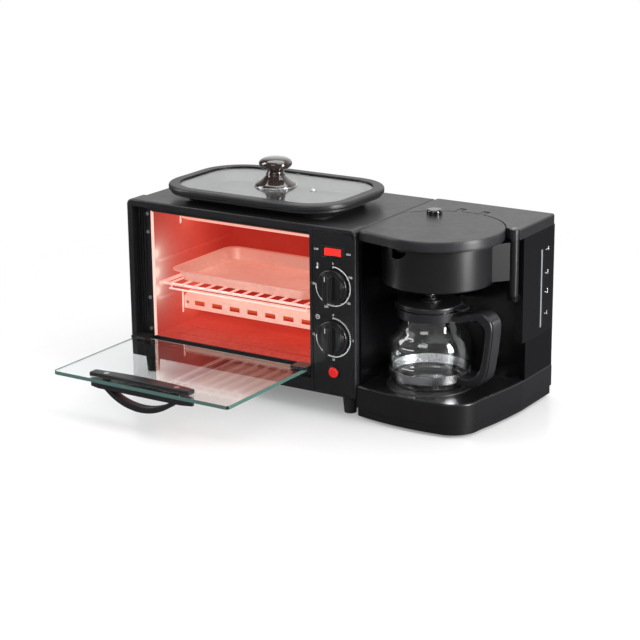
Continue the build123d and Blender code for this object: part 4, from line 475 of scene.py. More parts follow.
class Palette:
    """Every finish of the unit, made once and looked up by name."""

    def __init__(self) -> None:
        """Builds all the materials."""
        rod_lo, rod_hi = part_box("heater_tubes")
        heater_y = (rod_lo.y + rod_hi.y) / 2
        self.heaters = ((heater_y, rod_lo.z + HEATER_MARGIN), (heater_y, rod_hi.z - HEATER_MARGIN))
        self._made: dict[str, bpy.types.Material] = {f.name: opaque(f) for f in FINISHES}
        glasses = (
            GlassFinish("door_pane", (0.955, 0.985, 0.975), **plate("door_glass")),
            GlassFinish("lid_pane", (0.93, 0.955, 0.95), **plate("griddle_lid_glass")),
            GlassFinish("blown_glass", (0.97, 0.98, 0.98), shadow=0.9),
        )
        self._made.update({g.name: clear(g) for g in glasses})
        cavity_lo, cavity_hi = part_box("cavity_liner")
        # Points on each ledge of the lining that get a painted highlight.
        ledge_glints = tuple((cavity_lo.x + 0.002, cavity_lo.y + 0.006, z) for z in LEDGE_GLINT_HEIGHTS)
        room = (cavity_lo + Vector((0.0005, -0.02, 0.0005)), cavity_hi - Vector((0.0005,) * 3))
        # The heaters' light, painted as glow on the liner, guards, tray, rack and seams.
        glows = (
            Glow("lit_liner", (0.09, 0.017, 0.012), (0.42, 0.016, 0.009), (0.64, 0.040, 0.022), (0.92, 0.13, 0.075),
                 0.86, ledge_glints, room),
            Glow("lit_guard", (0.55, 0.42, 0.38), (0.70, 0.22, 0.15), (0.88, 0.42, 0.32), (0.98, 0.58, 0.47), 0.74),
            Glow("lit_tray", (0.60, 0.46, 0.42), (0.62, 0.20, 0.14), (0.84, 0.40, 0.30), (0.94, 0.52, 0.42), 0.56,
                 mouth=cavity_lo.y, plain=(0.50, 0.50, 0.50)),
            Glow("lit_wire", (0.85, 0.72, 0.68), (0.70, 0.34, 0.28), (0.92, 0.58, 0.49), (0.95, 0.66, 0.57), 0.62,
                 mouth=cavity_lo.y, plain=(0.60, 0.60, 0.60)),
            Glow("lit_seam", (0.85, 0.75, 0.72), (0.85, 0.42, 0.33), (0.95, 0.60, 0.50), (1.0, 0.74, 0.64), 0.85),
        )
        self._made.update({g.name: lit_sheet(g, self.heaters) for g in glows})
        self._made["hot_rod"] = hot_rod("hot_rod", rod_lo.x + HOT_END, rod_hi.x - HOT_END)

    def __getitem__(self, name: str) -> bpy.types.Material:
        """Looks a material up by its finish's name."""
        return self._made[name]


WEARERS: dict[str, str] = {
    "satin_black": (
        "front_bezel rocker_housing door_handle door_inner_strip door_hinge_clamps base_cover rear_cover "
        "shower_head tower_top filter_insert drip_valve carafe_handle carafe_lid"
    ),
    "fine_black": "control_panel",
    "rocker_red": "rocker_button",
    "knob_black": "temperature_knob timer_knob",
    "plated_steel": (
        "thermostat_spindle timer_spindle thermostat timer_clockwork bottom_plate housing_screws "
        "door_handle_screws door_hinge_pins lid_knob_screw hinge_pins drip_spring"
    ),
    "lamp_red": "power_lamp",
    "powder_coat": "outer_cover back_panel",
    "lit_liner": "cavity_liner",
    "rubber": "feet cord_grommet",
    "hot_rod": "heater_tubes",
    "lit_guard": "heater_guards",
    "lit_wire": "wire_rack",
    "lit_tray": "baking_tray",
    "door_pane": "door_glass",
    "cast_plate": "hot_plate boiler_heater",
    "non_stick": "griddle_pan warming_plate",
    "rim_black": "griddle_lid_rim",
    "lid_pane": "griddle_lid_glass",
    "bronze_gloss": "griddle_lid_knob",
    "moulded_black": "coffee_base basket_holder",
    # The tower shell wears the darker black as painted shade in its bay.
    "bay_shade_black": "tower_shell",
    "smoked_tank": "side_panel water_tank",
    "gauge_strip": "gauge_window",
    "silicone": "supply_hose riser_pipe",
    "lid_black": "brew_lid",
    "deep_gloss": "brew_lid_button",
    "blown_glass": "carafe_glass",
    "stainless_round": "carafe_band",
    "stainless_trim": "carafe_handle_trim",
}
CAD_FINISH = {node: finish for finish, nodes in WEARERS.items() for node in nodes.split()}


def link(name: str, data: bpy.types.ID) -> bpy.types.Object:
    """Makes an object and links it to the scene.

    Args:
        name: its name.
        data: its mesh, curve, light or camera.

    Returns:
        The object, at the origin.
    """
    made = bpy.data.objects.new(name, data)
    bpy.context.scene.collection.objects.link(made)
    return made


@dataclass
class Surface:
    """A mesh being gathered as arrays: positions in the row frame, quads as index rows, and the vertex count."""

    points: list[np.ndarray] = field(default_factory=list)
    faces: list[np.ndarray] = field(default_factory=list)
    count: int = 0

    def grid(self, lattice: np.ndarray, wrap_u: bool = False, wrap_v: bool = False) -> "Surface":
        """Adds a lattice: four neighbours in rows and columns make each quad.

        Args:
            lattice: positions as an array of shape (rows, columns, 3).
            wrap_u: whether the last row joins the first.
            wrap_v: whether the last column joins the first.

        Returns:
            This surface.
        """
        rows, columns = lattice.shape[:2]
        ids = np.arange(rows * columns).reshape(rows, columns) + self.count
        lower = ids if wrap_u else ids[:-1]
        upper = np.roll(ids, -1, 0) if wrap_u else ids[1:]
        if not wrap_v:
            quads = np.stack((lower[:, :-1], lower[:, 1:], upper[:, 1:], upper[:, :-1]), -1)
        else:
            quads = np.stack((lower, np.roll(lower, -1, 1), np.roll(upper, -1, 1), upper), -1)
        self.points.append(lattice.reshape(-1, 3))
        self.faces.append(quads.reshape(-1, 4))
        self.count += rows * columns
        return self

    def box(self, low: Point, high: Point) -> "Surface":
        """Adds a closed box.

        Args:
            low: lowest corner.
            high: highest corner.

        Returns:
            This surface.
        """
        at_high = [(0, 0, 0), (1, 0, 0), (1, 1, 0), (0, 1, 0), (0, 0, 1), (1, 0, 1), (1, 1, 1), (0, 1, 1)]
        corners = np.where(at_high, high, low)
        quads = np.array([[0, 3, 2, 1], [4, 5, 6, 7], [0, 1, 5, 4], [1, 2, 6, 5], [2, 3, 7, 6], [3, 0, 4, 7]])
        self.points.append(corners)
        self.faces.append(quads + self.count)
        self.count += 8
        return self

    def build(self, name: str, material: bpy.types.Material, smooth: bool = True) -> bpy.types.Object:
        """Makes the Blender object, with the vertices of seams and poles merged.

        Args:
            name: its name.
            material: its material.
            smooth: whether faces are shaded smooth.

        Returns:
            The object, at the origin.
        """
        mesh = bpy.data.meshes.new(name)
        mesh.from_pydata(np.concatenate(self.points).tolist(), [], np.concatenate(self.faces).tolist())
        mesh.polygons.foreach_set("use_smooth", np.full(len(mesh.polygons), smooth))
        mesh.materials.append(material)
        shell = bmesh.new()
        shell.from_mesh(mesh)
        bmesh.ops.remove_doubles(shell, verts=shell.verts, dist=MERGE_REACH)
        shell.to_mesh(mesh)
        shell.free()
        return link(name, mesh)


def woven(x: object, y: object, z: object) -> np.ndarray:
    """Broadcasts X, Y and Z into one lattice of positions, of shape (rows, columns, 3)."""
    return np.stack(np.broadcast_arrays(x, y, z), -1)


def turned(
    profile: Sequence[tuple[float, float]], centre: Point, facing: Facing = Facing.UP, steps: int = 64
) -> np.ndarray:
    """A lattice of revolution: each radius goes round by its cosine and sine, at its own height.

    Args:
        profile: radius and height pairs, from the foot up so that the faces point outwards.
        centre: a point on the axis.
        facing: UP for a vertical axis, FRONT for a piece whose height runs towards the front.
        steps: points round the axis.

    Returns:
        Positions of shape (profile, steps, 3).
    """
    section = np.array(profile, float)
    angle = np.linspace(0, 2 * math.pi, steps, endpoint=False)
    ring_a = section[:, :1] * np.cos(angle)
    ring_b = section[:, :1] * np.sin(angle)
    rise = section[:, 1:]
    lattice = woven(ring_a, ring_b, rise) if facing is Facing.UP else woven(ring_a, -rise, ring_b)
    return lattice + np.array(centre)


def dial_arc(cx: float, cz: float, y: float, radii: tuple[float, float], span: tuple[float, float]) -> np.ndarray:
    """A flat arc on the front plane: X by the sine and Z by the cosine of a clock angle, at two radii.

    Args:
        cx: centre along X.
        cz: centre along Z.
        y: the plane.
        radii: inner and outer radius.
        span: start and end in degrees, clockwise from twelve o'clock.

    Returns:
        A lattice of two rows.
    """
    steps = max(2, int(abs(span[1] - span[0]) / 3) + 2)
    angle = np.radians(np.linspace(span[0], span[1], steps))
    reach = np.array(radii)[:, None]
    return woven(cx + reach * np.sin(angle), y, cz + reach * np.cos(angle))


def centre_of(node: str) -> Vector:
    """The middle of a CAD node's box, in metres."""
    lo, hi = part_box(node)
    return (lo + hi) / 2


class Workshop:
    """Makes pieces and hands each to its CAD body."""

    def __init__(self, palette: Palette) -> None:
        """Keeps the palette."""
        self.palette = palette

    def place(self, piece: bpy.types.Object, body: str, slot: str) -> None:
        """Rides a piece on its body, and reports it.

        Args:
            piece: the object.
            body: the CAD body.
            slot: not used.
        """
        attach(piece, body)
        LOG.info("%s rides %s", piece.name, body)

    def add(self, name: str, surface: Surface, finish: str, body: str, slot: str, smooth: bool = True) -> None:
        """Builds a surface in a named finish and places it."""
        self.place(surface.build(name, self.palette[finish], smooth), body, slot)

    def text(self, name: str, words: str, at: Point, size: float, facing: Facing, finish: str) -> None:
        """Prints a plain number or switch word on the housing as a flat mesh.

        Args:
            name: the object's name.
            words: what is printed.
            at: the middle of the print.
            size: letter height in metres.
            facing: which way it looks, FRONT or RIGHT.
            finish: the ink.
        """
        curve = bpy.data.curves.new(name, "FONT")
        curve.body = words
        curve.size = size
        curve.align_x = "CENTER"
        curve.align_y = "CENTER"
        curve.resolution_u = 3
        holder = link(name + "_curve", curve)
        bpy.context.view_layer.update()
        mesh = bpy.data.meshes.new_from_object(holder.evaluated_get(bpy.context.evaluated_depsgraph_get()))
        bpy.data.objects.remove(holder)
        upright = Matrix.Rotation(math.radians(90), 4, "X")
        if facing is Facing.RIGHT:
            upright = Matrix.Rotation(math.radians(90), 4, "Z") @ upright
        mesh.transform(Matrix.Translation(Vector(at)) @ upright)
        mesh.name = name
        mesh.materials.clear()
        mesh.materials.append(self.palette[finish])
        self.place(link(name, mesh), "housing", "black_gloss")


@dataclass
class DialFace:
    """The printed face round one knob, the knob's pointer and its fluted foot.

    Attributes:
        name: prefix of its pieces.
        node, body: the knob's CAD node and body.
        numbers: clock angle and number pairs.
        solid: start and end of the solid arc.
        dotted: start, end and count of the dots.
        line, dot, tick: inner and outer radius of the arc, of a dot and of a tick.
        half_angles, tick_step: half a dot's and half a tick's width, and the step between ticks, in degrees.
        number_radius, number_size: how far the numbers stand from the middle, and their height.
        pointer: near end, far end and half width of the pointer.
        flutes: count, mean radius, depth and length of the flutes.
    """

    shop: Workshop
    name: str
    node: str
    body: str
    numbers: Sequence[tuple[float, str]]
    solid: tuple[float, float]
    dotted: tuple[float, float, int]
    line: tuple[float, float] = (0.0222, 0.0231)
    dot: tuple[float, float] = (0.0216, 0.0234)
    tick: tuple[float, float] = (0.0210, 0.0232)
    half_angles: tuple[float, float] = (1.3, 0.9)
    tick_step: float = 30.0
    number_radius: float = 0.0262
    number_size: float = 0.0037
    pointer: tuple[float, float, float] = (0.0095, 0.0150, 0.0004)
    flutes: tuple[int, float, float, float] = (60, 0.0193, 0.00022, 0.0022)

    def build(self) -> None:
        """Prints the arc, the ticks and the numbers, and marks the knob."""
        cx, _, cz = centre_of(self.node)
        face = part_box("control_panel")[0].y - INK_LIFT
        half_dot, half_tick = self.half_angles
        arc = Surface().grid(dial_arc(cx, cz, face, self.line, self.solid))
        for angle in np.linspace(*self.dotted):
            arc.grid(dial_arc(cx, cz, face, self.dot, (angle - half_dot, angle + half_dot)))
        for angle in np.arange(self.solid[0], self.solid[1] + 1, self.tick_step):
            arc.grid(dial_arc(cx, cz, face, self.tick, (angle - half_tick, angle + half_tick)))
        self.shop.add(self.name + "_scale", arc, "ink_white", "housing", "black_gloss", smooth=False)
        for angle, words in self.numbers:
            a = math.radians(angle)
            at = (cx + self.number_radius * math.sin(a), face, cz + self.number_radius * math.cos(a))
            self.shop.text(f"{self.name}_number_{words}", words, at, self.number_size, Facing.FRONT, "ink_white")
        near, far, half = self.pointer
        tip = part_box(self.node)[0].y - INK_LIFT
        mark = Surface().box((cx - half, tip, cz + near), (cx + half, tip + 0.0002, cz + far))
        self.shop.add(self.name + "_pointer", mark, "ink_grey", self.body, "black_housing", smooth=False)
        self.fluted_foot()

    def fluted_foot(self) -> None:
        """A ring about the knob's axis, whose radius waves by a clipped cosine once for each flute."""
        cx, _, cz = centre_of(self.node)
        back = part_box(self.node)[1].y - 0.0002
        count, mean, depth, length = self.flutes
        angle = np.linspace(0, 2 * math.pi, count * 8, endpoint=False)
        radius = mean + depth * np.clip(np.cos(angle * count) * 3, -1, 1)
        levels = np.array([[back], [back - length]])
        ring = Surface().grid(woven(cx + radius * np.cos(angle), levels, cz + radius * np.sin(angle)), wrap_v=True)
        self.shop.add(self.name + "_flutes", ring, "knob_black", self.body, "black_housing")


@dataclass
class ControlMarks:
    """Icons and switch words on the control panel, and the lamp's bezel and facets.

    Attributes:
        word_size, word_gap: height of the switch words, and how far they stand left and right of the switch.
        bezel: section of the lamp's bezel, as radius and height.
        facet_pitch, facet_half: height from one facet of the lamp to the next, and half a facet's height.
        lamp_radius: radius that the facets keep to.
        icon_shift: place of an icon from its knob's middle, along X and Z.
    """

    shop: Workshop
    word_size: float = 0.0034
    word_gap: tuple[float, float] = (0.0062, 0.0050)
    bezel: Sequence[tuple[float, float]] = (
        (0.0064, 0.0), (0.0072, 0.0), (0.0076, 0.0006), (0.0072, 0.0012), (0.0064, 0.0012))
    facet_pitch: float = 0.0018
    facet_half: float = 0.00035
    lamp_radius: float = 0.0049
    icon_shift: tuple[float, float] = (-0.0205, 0.0215)

    def build(self) -> None:
        """Prints the switch words and the icons, and dresses the lamp."""
        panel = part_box("control_panel")[0].y
        face = panel - INK_LIFT
        lo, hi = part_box("rocker_housing")
        middle = (lo.z + hi.z) / 2
        for name, words, x, z in (
            ("switch_off", "OFF", lo.x - self.word_gap[0], middle + 0.0006),
            ("switch_on", "ON", hi.x + self.word_gap[1], middle - 0.0004),
        ):
            self.shop.text(name, words, (x, face, z), self.word_size, Facing.FRONT, "ink_white")
        lamp = centre_of("power_lamp")
        ring = Surface().grid(turned(self.bezel, (lamp.x, panel, lamp.z), Facing.FRONT), wrap_u=True, wrap_v=True)
        self.shop.add("lamp_bezel", ring, "knob_black", "housing", "black_housing")
        facets = Surface()
        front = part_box("power_lamp")[0].y
        for step in range(-2, 3):
            rise = step * self.facet_pitch
            half = math.sqrt(self.lamp_radius**2 - rise**2) * 0.8
            facets.box((lamp.x - half, front - 0.00005, lamp.z + rise - self.facet_half),
                       (lamp.x + half, front + 0.0006, lamp.z + rise + self.facet_half))
        self.shop.add("lamp_facets", facets, "lamp_red", "housing", "lamp_red", smooth=False)
        self.thermometer()
        self.clock()

    def spot(self, knob: str) -> Point:
        """Where the icon over a knob stands on the panel's plane."""
        x, _, z = centre_of(knob)
        return x + self.icon_shift[0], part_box("control_panel")[0].y - INK_LIFT, z + self.icon_shift[1]

    def thermometer(self) -> None:
        """A thermometer icon over the upper knob: a bulb, a stem and three ticks."""
        x, face, z = self.spot("temperature_knob")
        icon = Surface()
        icon.grid(dial_arc(x, z - 0.002, face, (0.0, 0.0013), (0, 360)))
        icon.box((x - 0.00035, face, z - 0.001), (x + 0.00035, face + 0.0001, z + 0.0035))
        for step in range(3):
            level = z + 0.0008 + step * 0.001
            icon.box((x + 0.0009, face, level - 0.00012), (x + 0.0018, face + 0.0001, level + 0.00012))
        self.shop.add("icon_thermometer", icon, "ink_white", "housing", "black_gloss", smooth=False)

    def clock(self) -> None:
        """A clock icon over the lower knob: a ring and two hands."""
        x, face, z = self.spot("timer_knob")
        icon = Surface().grid(dial_arc(x, z, face, (0.0021, 0.0026), (0, 360)))
        icon.box((x - 0.0002, face, z), (x + 0.0002, face + 0.0001, z + 0.0016))
        icon.box((x, face, z - 0.0002), (x + 0.0013, face + 0.0001, z + 0.0002))
        self.shop.add("icon_clock", icon, "ink_white", "housing", "black_gloss", smooth=False)


@dataclass
class WaterGauge:
    """Marks beside the tank's level slot.

    Attributes:
        levels: height of each mark, as a share of the slot.
        tick: start, end and half height of a tick, from the slot's rear edge.
        number_gap, number_size: how far the numbers stand from it, and their height.
        edge: width of the slot's frame.
    """

    shop: Workshop
    levels: Sequence[float] = (0.155, 0.435, 0.680, 0.980)
    tick: tuple[float, float, float] = (0.0064, 0.0094, 0.0003)
    number_gap: float = 0.0128
    number_size: float = 0.0074
    edge: float = 0.0008

    def build(self) -> None:
        """Prints the ticks and the numbers, and frames the slot."""
        lo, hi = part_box("gauge_window")
        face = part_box("side_panel")[1].x + INK_LIFT / 3
        front, rear = lo.y - 0.0006, hi.y + 0.0006
        start, end, half = self.tick
        ticks = Surface()
        for step, share in enumerate(self.levels):
            z = lo.z + (hi.z - lo.z) * share
            ticks.box((face - 0.00006, rear + start, z - half), (face, rear + end, z + half))
            self.shop.text(f"gauge_number_{step + 1}", str(step + 1), (face, rear + self.number_gap, z),
                           self.number_size, Facing.RIGHT, "ink_grey")
        self.shop.add("gauge_ticks", ticks, "ink_grey", "housing", "tank_clear", smooth=False)
        frame_edge = Surface()
        for y in (front - self.edge, rear):
            frame_edge.box((face - 0.0004, y, lo.z - self.edge), (face, y + self.edge, hi.z + self.edge))
        self.shop.add("gauge_frame", frame_edge, "deep_gloss", "housing", "tank_clear", smooth=False)


@dataclass
class OvenFittings:
    """Small fittings of the oven: painted shade in the screw recesses, pressed beads, lining edge and seams in painted
    glow, rivets and lip.

    Attributes:
        screw_inset: from the cover's side, foot and top to the rear screws.
        cross: half length and half width of a screw's recess.
        back_beads, floor_beads: heights of the beads in the back wall, and how many the floor has.
        back_bead, floor_bead: half width and height of a bead.
        back_ends, floor_ends: where a bead starts and where it is full, from the lining's side.
        edge: fold radius, width and depth of the lining's front edge.
        seam_half, seam: half height of the seam beside a guard, its thickness and half width.
        rivet: section of a rivet's head, from its foot up.
    """

    shop: Workshop
    screw_inset: tuple[float, float, float] = (0.010, 0.010, 0.014)
    cross: tuple[float, float] = (0.0021, 0.0004)
    back_beads: Sequence[float] = (0.100, 0.128, 0.156)
    back_bead: tuple[float, float] = (0.003, 0.0014)
    back_ends: tuple[float, float] = (0.012, 0.014)
    floor_beads: int = 5
    floor_bead: tuple[float, float] = (0.0025, 0.0010)
    floor_ends: tuple[float, float] = (0.016, 0.019)
    edge: tuple[float, float, float] = (0.0014, 0.0021, 0.0028)
    seam_half: float = 0.013
    seam: tuple[float, float] = (0.0011, 0.0012)
    rivet: Sequence[tuple[float, float]] = ((0.0022, 0.0), (0.0020, 0.0004), (0.0012, 0.0009), (0.0, 0.0011))

    def build(self) -> None:
        """Makes all the oven's small pieces."""
        self.screw_crosses()
        self.cavity_ribs()
        self.lining_edge()
        self.lining_seams()
        self.guard_rivets()
        self.panel_lip()

    def screw_crosses(self) -> None:
        """Painted shade in the cross recesses of the rear screws: flat near-black crosses laid on their heads."""
        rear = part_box("housing_screws")[1].y
        side, foot, top = self.screw_inset
        length, width = self.cross
        cross = Surface()
        lo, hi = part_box("outer_cover")
        for x in (lo.x + side, hi.x - side):
            for z in (lo.z + foot, hi.z - top):
                for dx, dz in ((length, width), (width, length)):
                    cross.box((x - dx, rear, z - dz), (x + dx, rear + 0.0001, z + dz))
        self.shop.add("screw_recess_shade", cross, "recess_shade_black", "housing", "screw_steel", smooth=False)

    def cavity_ribs(self) -> None:
        """Pressed beads in the back wall and floor: half waves of a sine that run out at both ends."""
        lo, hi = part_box("cavity_liner")
        beads = Surface()
        turn = np.linspace(0, math.pi, 9)
        grow = np.array([0.0, 1.0, 1.0, 0.0])
        swell = np.outer(grow, np.sin(turn))
        half, rise = self.back_bead
        near, full = self.back_ends
        run = np.array([[lo.x + near], [lo.x + full], [hi.x - full], [hi.x - near]])
        for z in self.back_beads:
            beads.grid(woven(run, hi.y - 0.001 - rise * swell, z + half * np.cos(turn)))
        half, rise = self.floor_bead
        near, full = self.floor_ends
        run = np.array([[lo.x + near], [lo.x + full], [hi.x - full], [hi.x - near]])
        for y in np.linspace(lo.y + 0.022, hi.y - 0.022, self.floor_beads):
            beads.grid(woven(run, y + half * np.cos(turn), lo.z + 0.001 + rise * swell))
        self.shop.add("cavity_beads", beads, "lit_liner", "housing", "galvanised")

    def lining_edge(self) -> None:
        """The front edge of the lining at the left, brightened by painted glow as a highlight: a quarter round and a
        flat, carried upwards.
        """
        lo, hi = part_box("cavity_liner")
        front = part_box("front_bezel")[0].y + 0.011
        fold = np.linspace(0, math.pi / 2, 7)
        radius, width, depth = self.edge
        across = np.append(lo.x + radius - radius * np.cos(fold), (lo.x + width, lo.x + width))
        deep = np.append(front - 0.00005 - 0.0001 * np.sin(fold), (front - 0.00015, front + depth))
        heights = np.linspace(lo.z, hi.z, 24)[:, None]
        self.shop.add("lining_edge", Surface().grid(woven(across, deep, heights)), "lit_seam", "housing", "galvanised")

    def lining_seams(self) -> None:
        """A folded seam beside each heater guard, bright with the heaters' painted glow: an arch on the left wall,
        lower at both ends.
        """
        lo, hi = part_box("cavity_liner")
        seams = Surface()
        arch = np.linspace(math.pi, 0, 7)
        swell = np.outer((0.2, 1.0, 1.0, 0.2), np.sin(arch))
        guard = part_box("heater_guards")[0].y - 0.0030
        thick, half = self.seam
        for _, middle in self.shop.palette.heaters:
            low, high = max(lo.z + 0.003, middle - self.seam_half), min(hi.z - 0.003, middle + self.seam_half)
            levels = np.array([[low], [low + 0.001], [high - 0.001], [high]])
            seams.grid(woven(lo.x + 0.0009 + thick * swell, guard + half * np.cos(arch), levels))
        self.shop.add("lining_seams", seams, "lit_seam", "housing", "galvanised")

    def guard_rivets(self) -> None:
        """Rivet heads at the ends of both heater guards."""
        lo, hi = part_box("heater_guards")
        rivets = Surface()
        for x in (lo.x + 0.005, hi.x - 0.005):
            for _, z in self.shop.palette.heaters:
                rivets.grid(turned(self.rivet, (x, lo.y, z), Facing.FRONT, 20), wrap_v=True)
        self.shop.add("guard_rivets", rivets, "plated_steel", "housing", "screw_steel")

    def panel_lip(self) -> None:
        """A raised lip down the control panel's left edge."""
        lo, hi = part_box("control_panel")
        lip = Surface().box((lo.x, lo.y - 0.0006, lo.z), (lo.x + 0.0009, lo.y + 0.0004, hi.z))
        self.shop.add("panel_lip", lip, "satin_black", "housing", "black_housing", smooth=False)


@dataclass
class GriddleFittings:
    """Washer, knob and steam eyelet of the griddle's lid.

    Attributes:
        washer: section of the ring under the knob.
        eyelet: section of the eyelet, from its outer foot over its rim and down its hole.
        eyelet_shift: its place, along X from the knob.
        knob: section of the knob, from its seat up.
        knob_height: height of that section.
    """

    shop: Workshop
    washer: Sequence[tuple[float, float]] = (
        (0.0238, 0.0), (0.0250, 0.0), (0.0253, 0.0005), (0.0250, 0.0010), (0.0238, 0.0010))
    eyelet: Sequence[tuple[float, float]] = (
        (0.0042, 0.0), (0.0038, 0.0008), (0.0026, 0.0012), (0.0018, 0.0006), (0.0018, -0.0040))
    eyelet_shift: float = 0.052
    knob: Sequence[tuple[float, float]] = (
        (0.0, 0.0), (0.0238, 0.0), (0.0245, 0.0005), (0.0244, 0.0018), (0.0228, 0.0034), (0.0190, 0.0056),
        (0.0148, 0.0082), (0.0118, 0.0112), (0.0110, 0.0122), (0.0116, 0.0129), (0.0116, 0.0137), (0.0104, 0.0146),
        (0.0100, 0.0160), (0.0106, 0.0176), (0.0130, 0.0190), (0.0165, 0.0204), (0.0186, 0.0222), (0.0195, 0.0244),
        (0.0193, 0.0266), (0.0178, 0.0287), (0.0150, 0.0303), (0.0110, 0.0313), (0.0060, 0.0319), (0.0, 0.0320))
    knob_height: float = 0.0320

    def build(self) -> None:
        """Makes the lid's small pieces."""
        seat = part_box("griddle_lid_knob")[0].z
        mid = centre_of("griddle_lid_knob")
        washer = Surface().grid(turned(self.washer, (mid.x, mid.y, seat), steps=96), wrap_u=True, wrap_v=True)
        self.shop.add("knob_washer", washer, "stainless_round", "griddle_lid", "screw_steel")
        place = (mid.x + self.eyelet_shift, mid.y, seat)
        eyelet = Surface().grid(turned(self.eyelet, place, steps=40), wrap_v=True)
        self.shop.add("steam_eyelet", eyelet, "plated_steel", "griddle_lid", "screw_steel")
        self.turned_knob()

    def turned_knob(self) -> None:
        """The glossy knob: its section is drawn finer by lines, smoothed by a moving mean and turned."""
        seat, top = (corner.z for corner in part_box("griddle_lid_knob"))
        mid = centre_of("griddle_lid_knob")
        shape = np.array(self.knob)
        steps = np.linspace(0, len(shape) - 1, 140)
        fine = np.stack([np.interp(steps, np.arange(len(shape)), shape[:, axis]) for axis in (0, 1)], -1)
        kernel = np.array([1, 2, 3, 2, 1]) / 9
        for axis in (0, 1):
            padded = np.pad(fine[:, axis], 2, mode="reflect", reflect_type="odd")
            fine[:, axis] = np.convolve(padded, kernel, "valid")
        fine[:, 1] *= (top - seat) / self.knob_height
        fine[[0, -1], 0] = 0.0
        knob = Surface().grid(turned(fine, (mid.x, mid.y, seat), steps=128), wrap_v=True)
        piece = knob.build("turned_knob", self.shop.palette["bronze_gloss"])
        self.shop.place(piece, "griddle_lid", "lid_bronze")
        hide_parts("griddle_lid_knob")


@dataclass
class CoffeeFittings:
    """Marks and small fittings of the coffee maker and its carafe.

    Attributes:
        ring_radii: radii of the warming plate's turned rings.
        ring_section: section of a ring about its radius, from the outer foot inwards.
        first_mark, mark_pitch: height of the lowest cup line, and from one line to the next.
        mark_half, mark_lift: half height of a line, and how far the print stands off the glass.
        mark_spans: start and end in degrees and the points of a long and of a short line.
        barrel: X and Y of the basket's hinge.
        cap: section of the hinge's cap, from its foot up.
    """

    shop: Workshop
    ring_radii: Sequence[float] = (0.0465, 0.0475)
    ring_section: Sequence[tuple[float, float]] = (
        (0.0004, 0.0), (0.0002, 0.00025), (-0.0002, 0.00025), (-0.0004, 0.0))
    first_mark: float = 0.066
    mark_pitch: float = 0.0115
    mark_half: float = 0.0004
    mark_lift: float = 0.00025
    mark_spans: Sequence[tuple[float, float, int]] = ((-104, -84, 12), (-99, -89, 8))
    barrel: tuple[float, float] = (0.228, 0.0815)
    cap: Sequence[tuple[float, float]] = ((0.0042, 0.0), (0.0034, 0.0007), (0.0, 0.0007))

    def build(self) -> None:
        """Makes the plate's rings, the cup marks and the hinge's cap."""
        self.plate_rings()
        self.cup_marks()
        self.barrel_cap()

    def plate_rings(self) -> None:
        """Shallow turned rings on the warming plate."""
        mid = centre_of("warming_plate")
        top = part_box("warming_plate")[1].z
        rings = Surface()
        for radius in self.ring_radii:
            section = [(radius + away, rise) for away, rise in self.ring_section]
            rings.grid(turned(section, (mid.x, mid.y, top), steps=128), wrap_v=True)
        self.shop.add("plate_rings", rings, "non_stick", "housing", "griddle_coat")

    def glass_radius(self, z: float) -> float:
        """The carafe's outer radius at one height, between the farthest vertices of its levels.

        Args:
            z: height in the row frame.

        Returns:
            The radius in metres.
        """
        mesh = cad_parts["carafe_glass"].data
        co = np.zeros(len(mesh.vertices) * 3)
        mesh.vertices.foreach_get("co", co)
        co = co.reshape(-1, 3)
        mid = centre_of("carafe_glass")
        away = np.hypot(co[:, 0] - mid.x, co[:, 1] - mid.y)
        outer = away > 0.030
        heights = np.unique(np.round(co[outer, 2], 4))
        reach = np.array([away[outer & (np.abs(co[:, 2] - h) < 0.0002)].max() for h in heights])
        return float(np.interp(z, heights, reach))

    def cup_marks(self) -> None:
        """White cup lines, long and short in turn, bent round the carafe's front."""
        mid = centre_of("carafe_glass")
        marks = Surface()
        for step in range(4):
            z = self.first_mark + self.mark_pitch * step
            radius = self.glass_radius(z) + self.mark_lift
            span = np.radians(np.linspace(*self.mark_spans[step % 2]))
            levels = np.array([[z - self.mark_half], [z + self.mark_half]])
            marks.grid(woven(mid.x + radius * np.cos(span), mid.y + radius * np.sin(span), levels))
        self.shop.add("carafe_marks", marks, "ink_white", "carafe", "carafe_clear", smooth=False)

    def barrel_cap(self) -> None:
        """A turned cap on top of the basket's hinge."""
        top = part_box("tower_top")[1].z
        cap = Surface().grid(turned(self.cap, (*self.barrel, top), steps=32), wrap_v=True)
        self.shop.add("barrel_cap", cap, "deep_gloss", "housing", "black_gloss")


@dataclass(frozen=True)
class Softbox:
    """One rectangular studio lamp: where it stands, what it faces, its width and height, and its watts."""

    name: str
    at: Point
    target: Point
    size: tuple[float, float]
    power: float


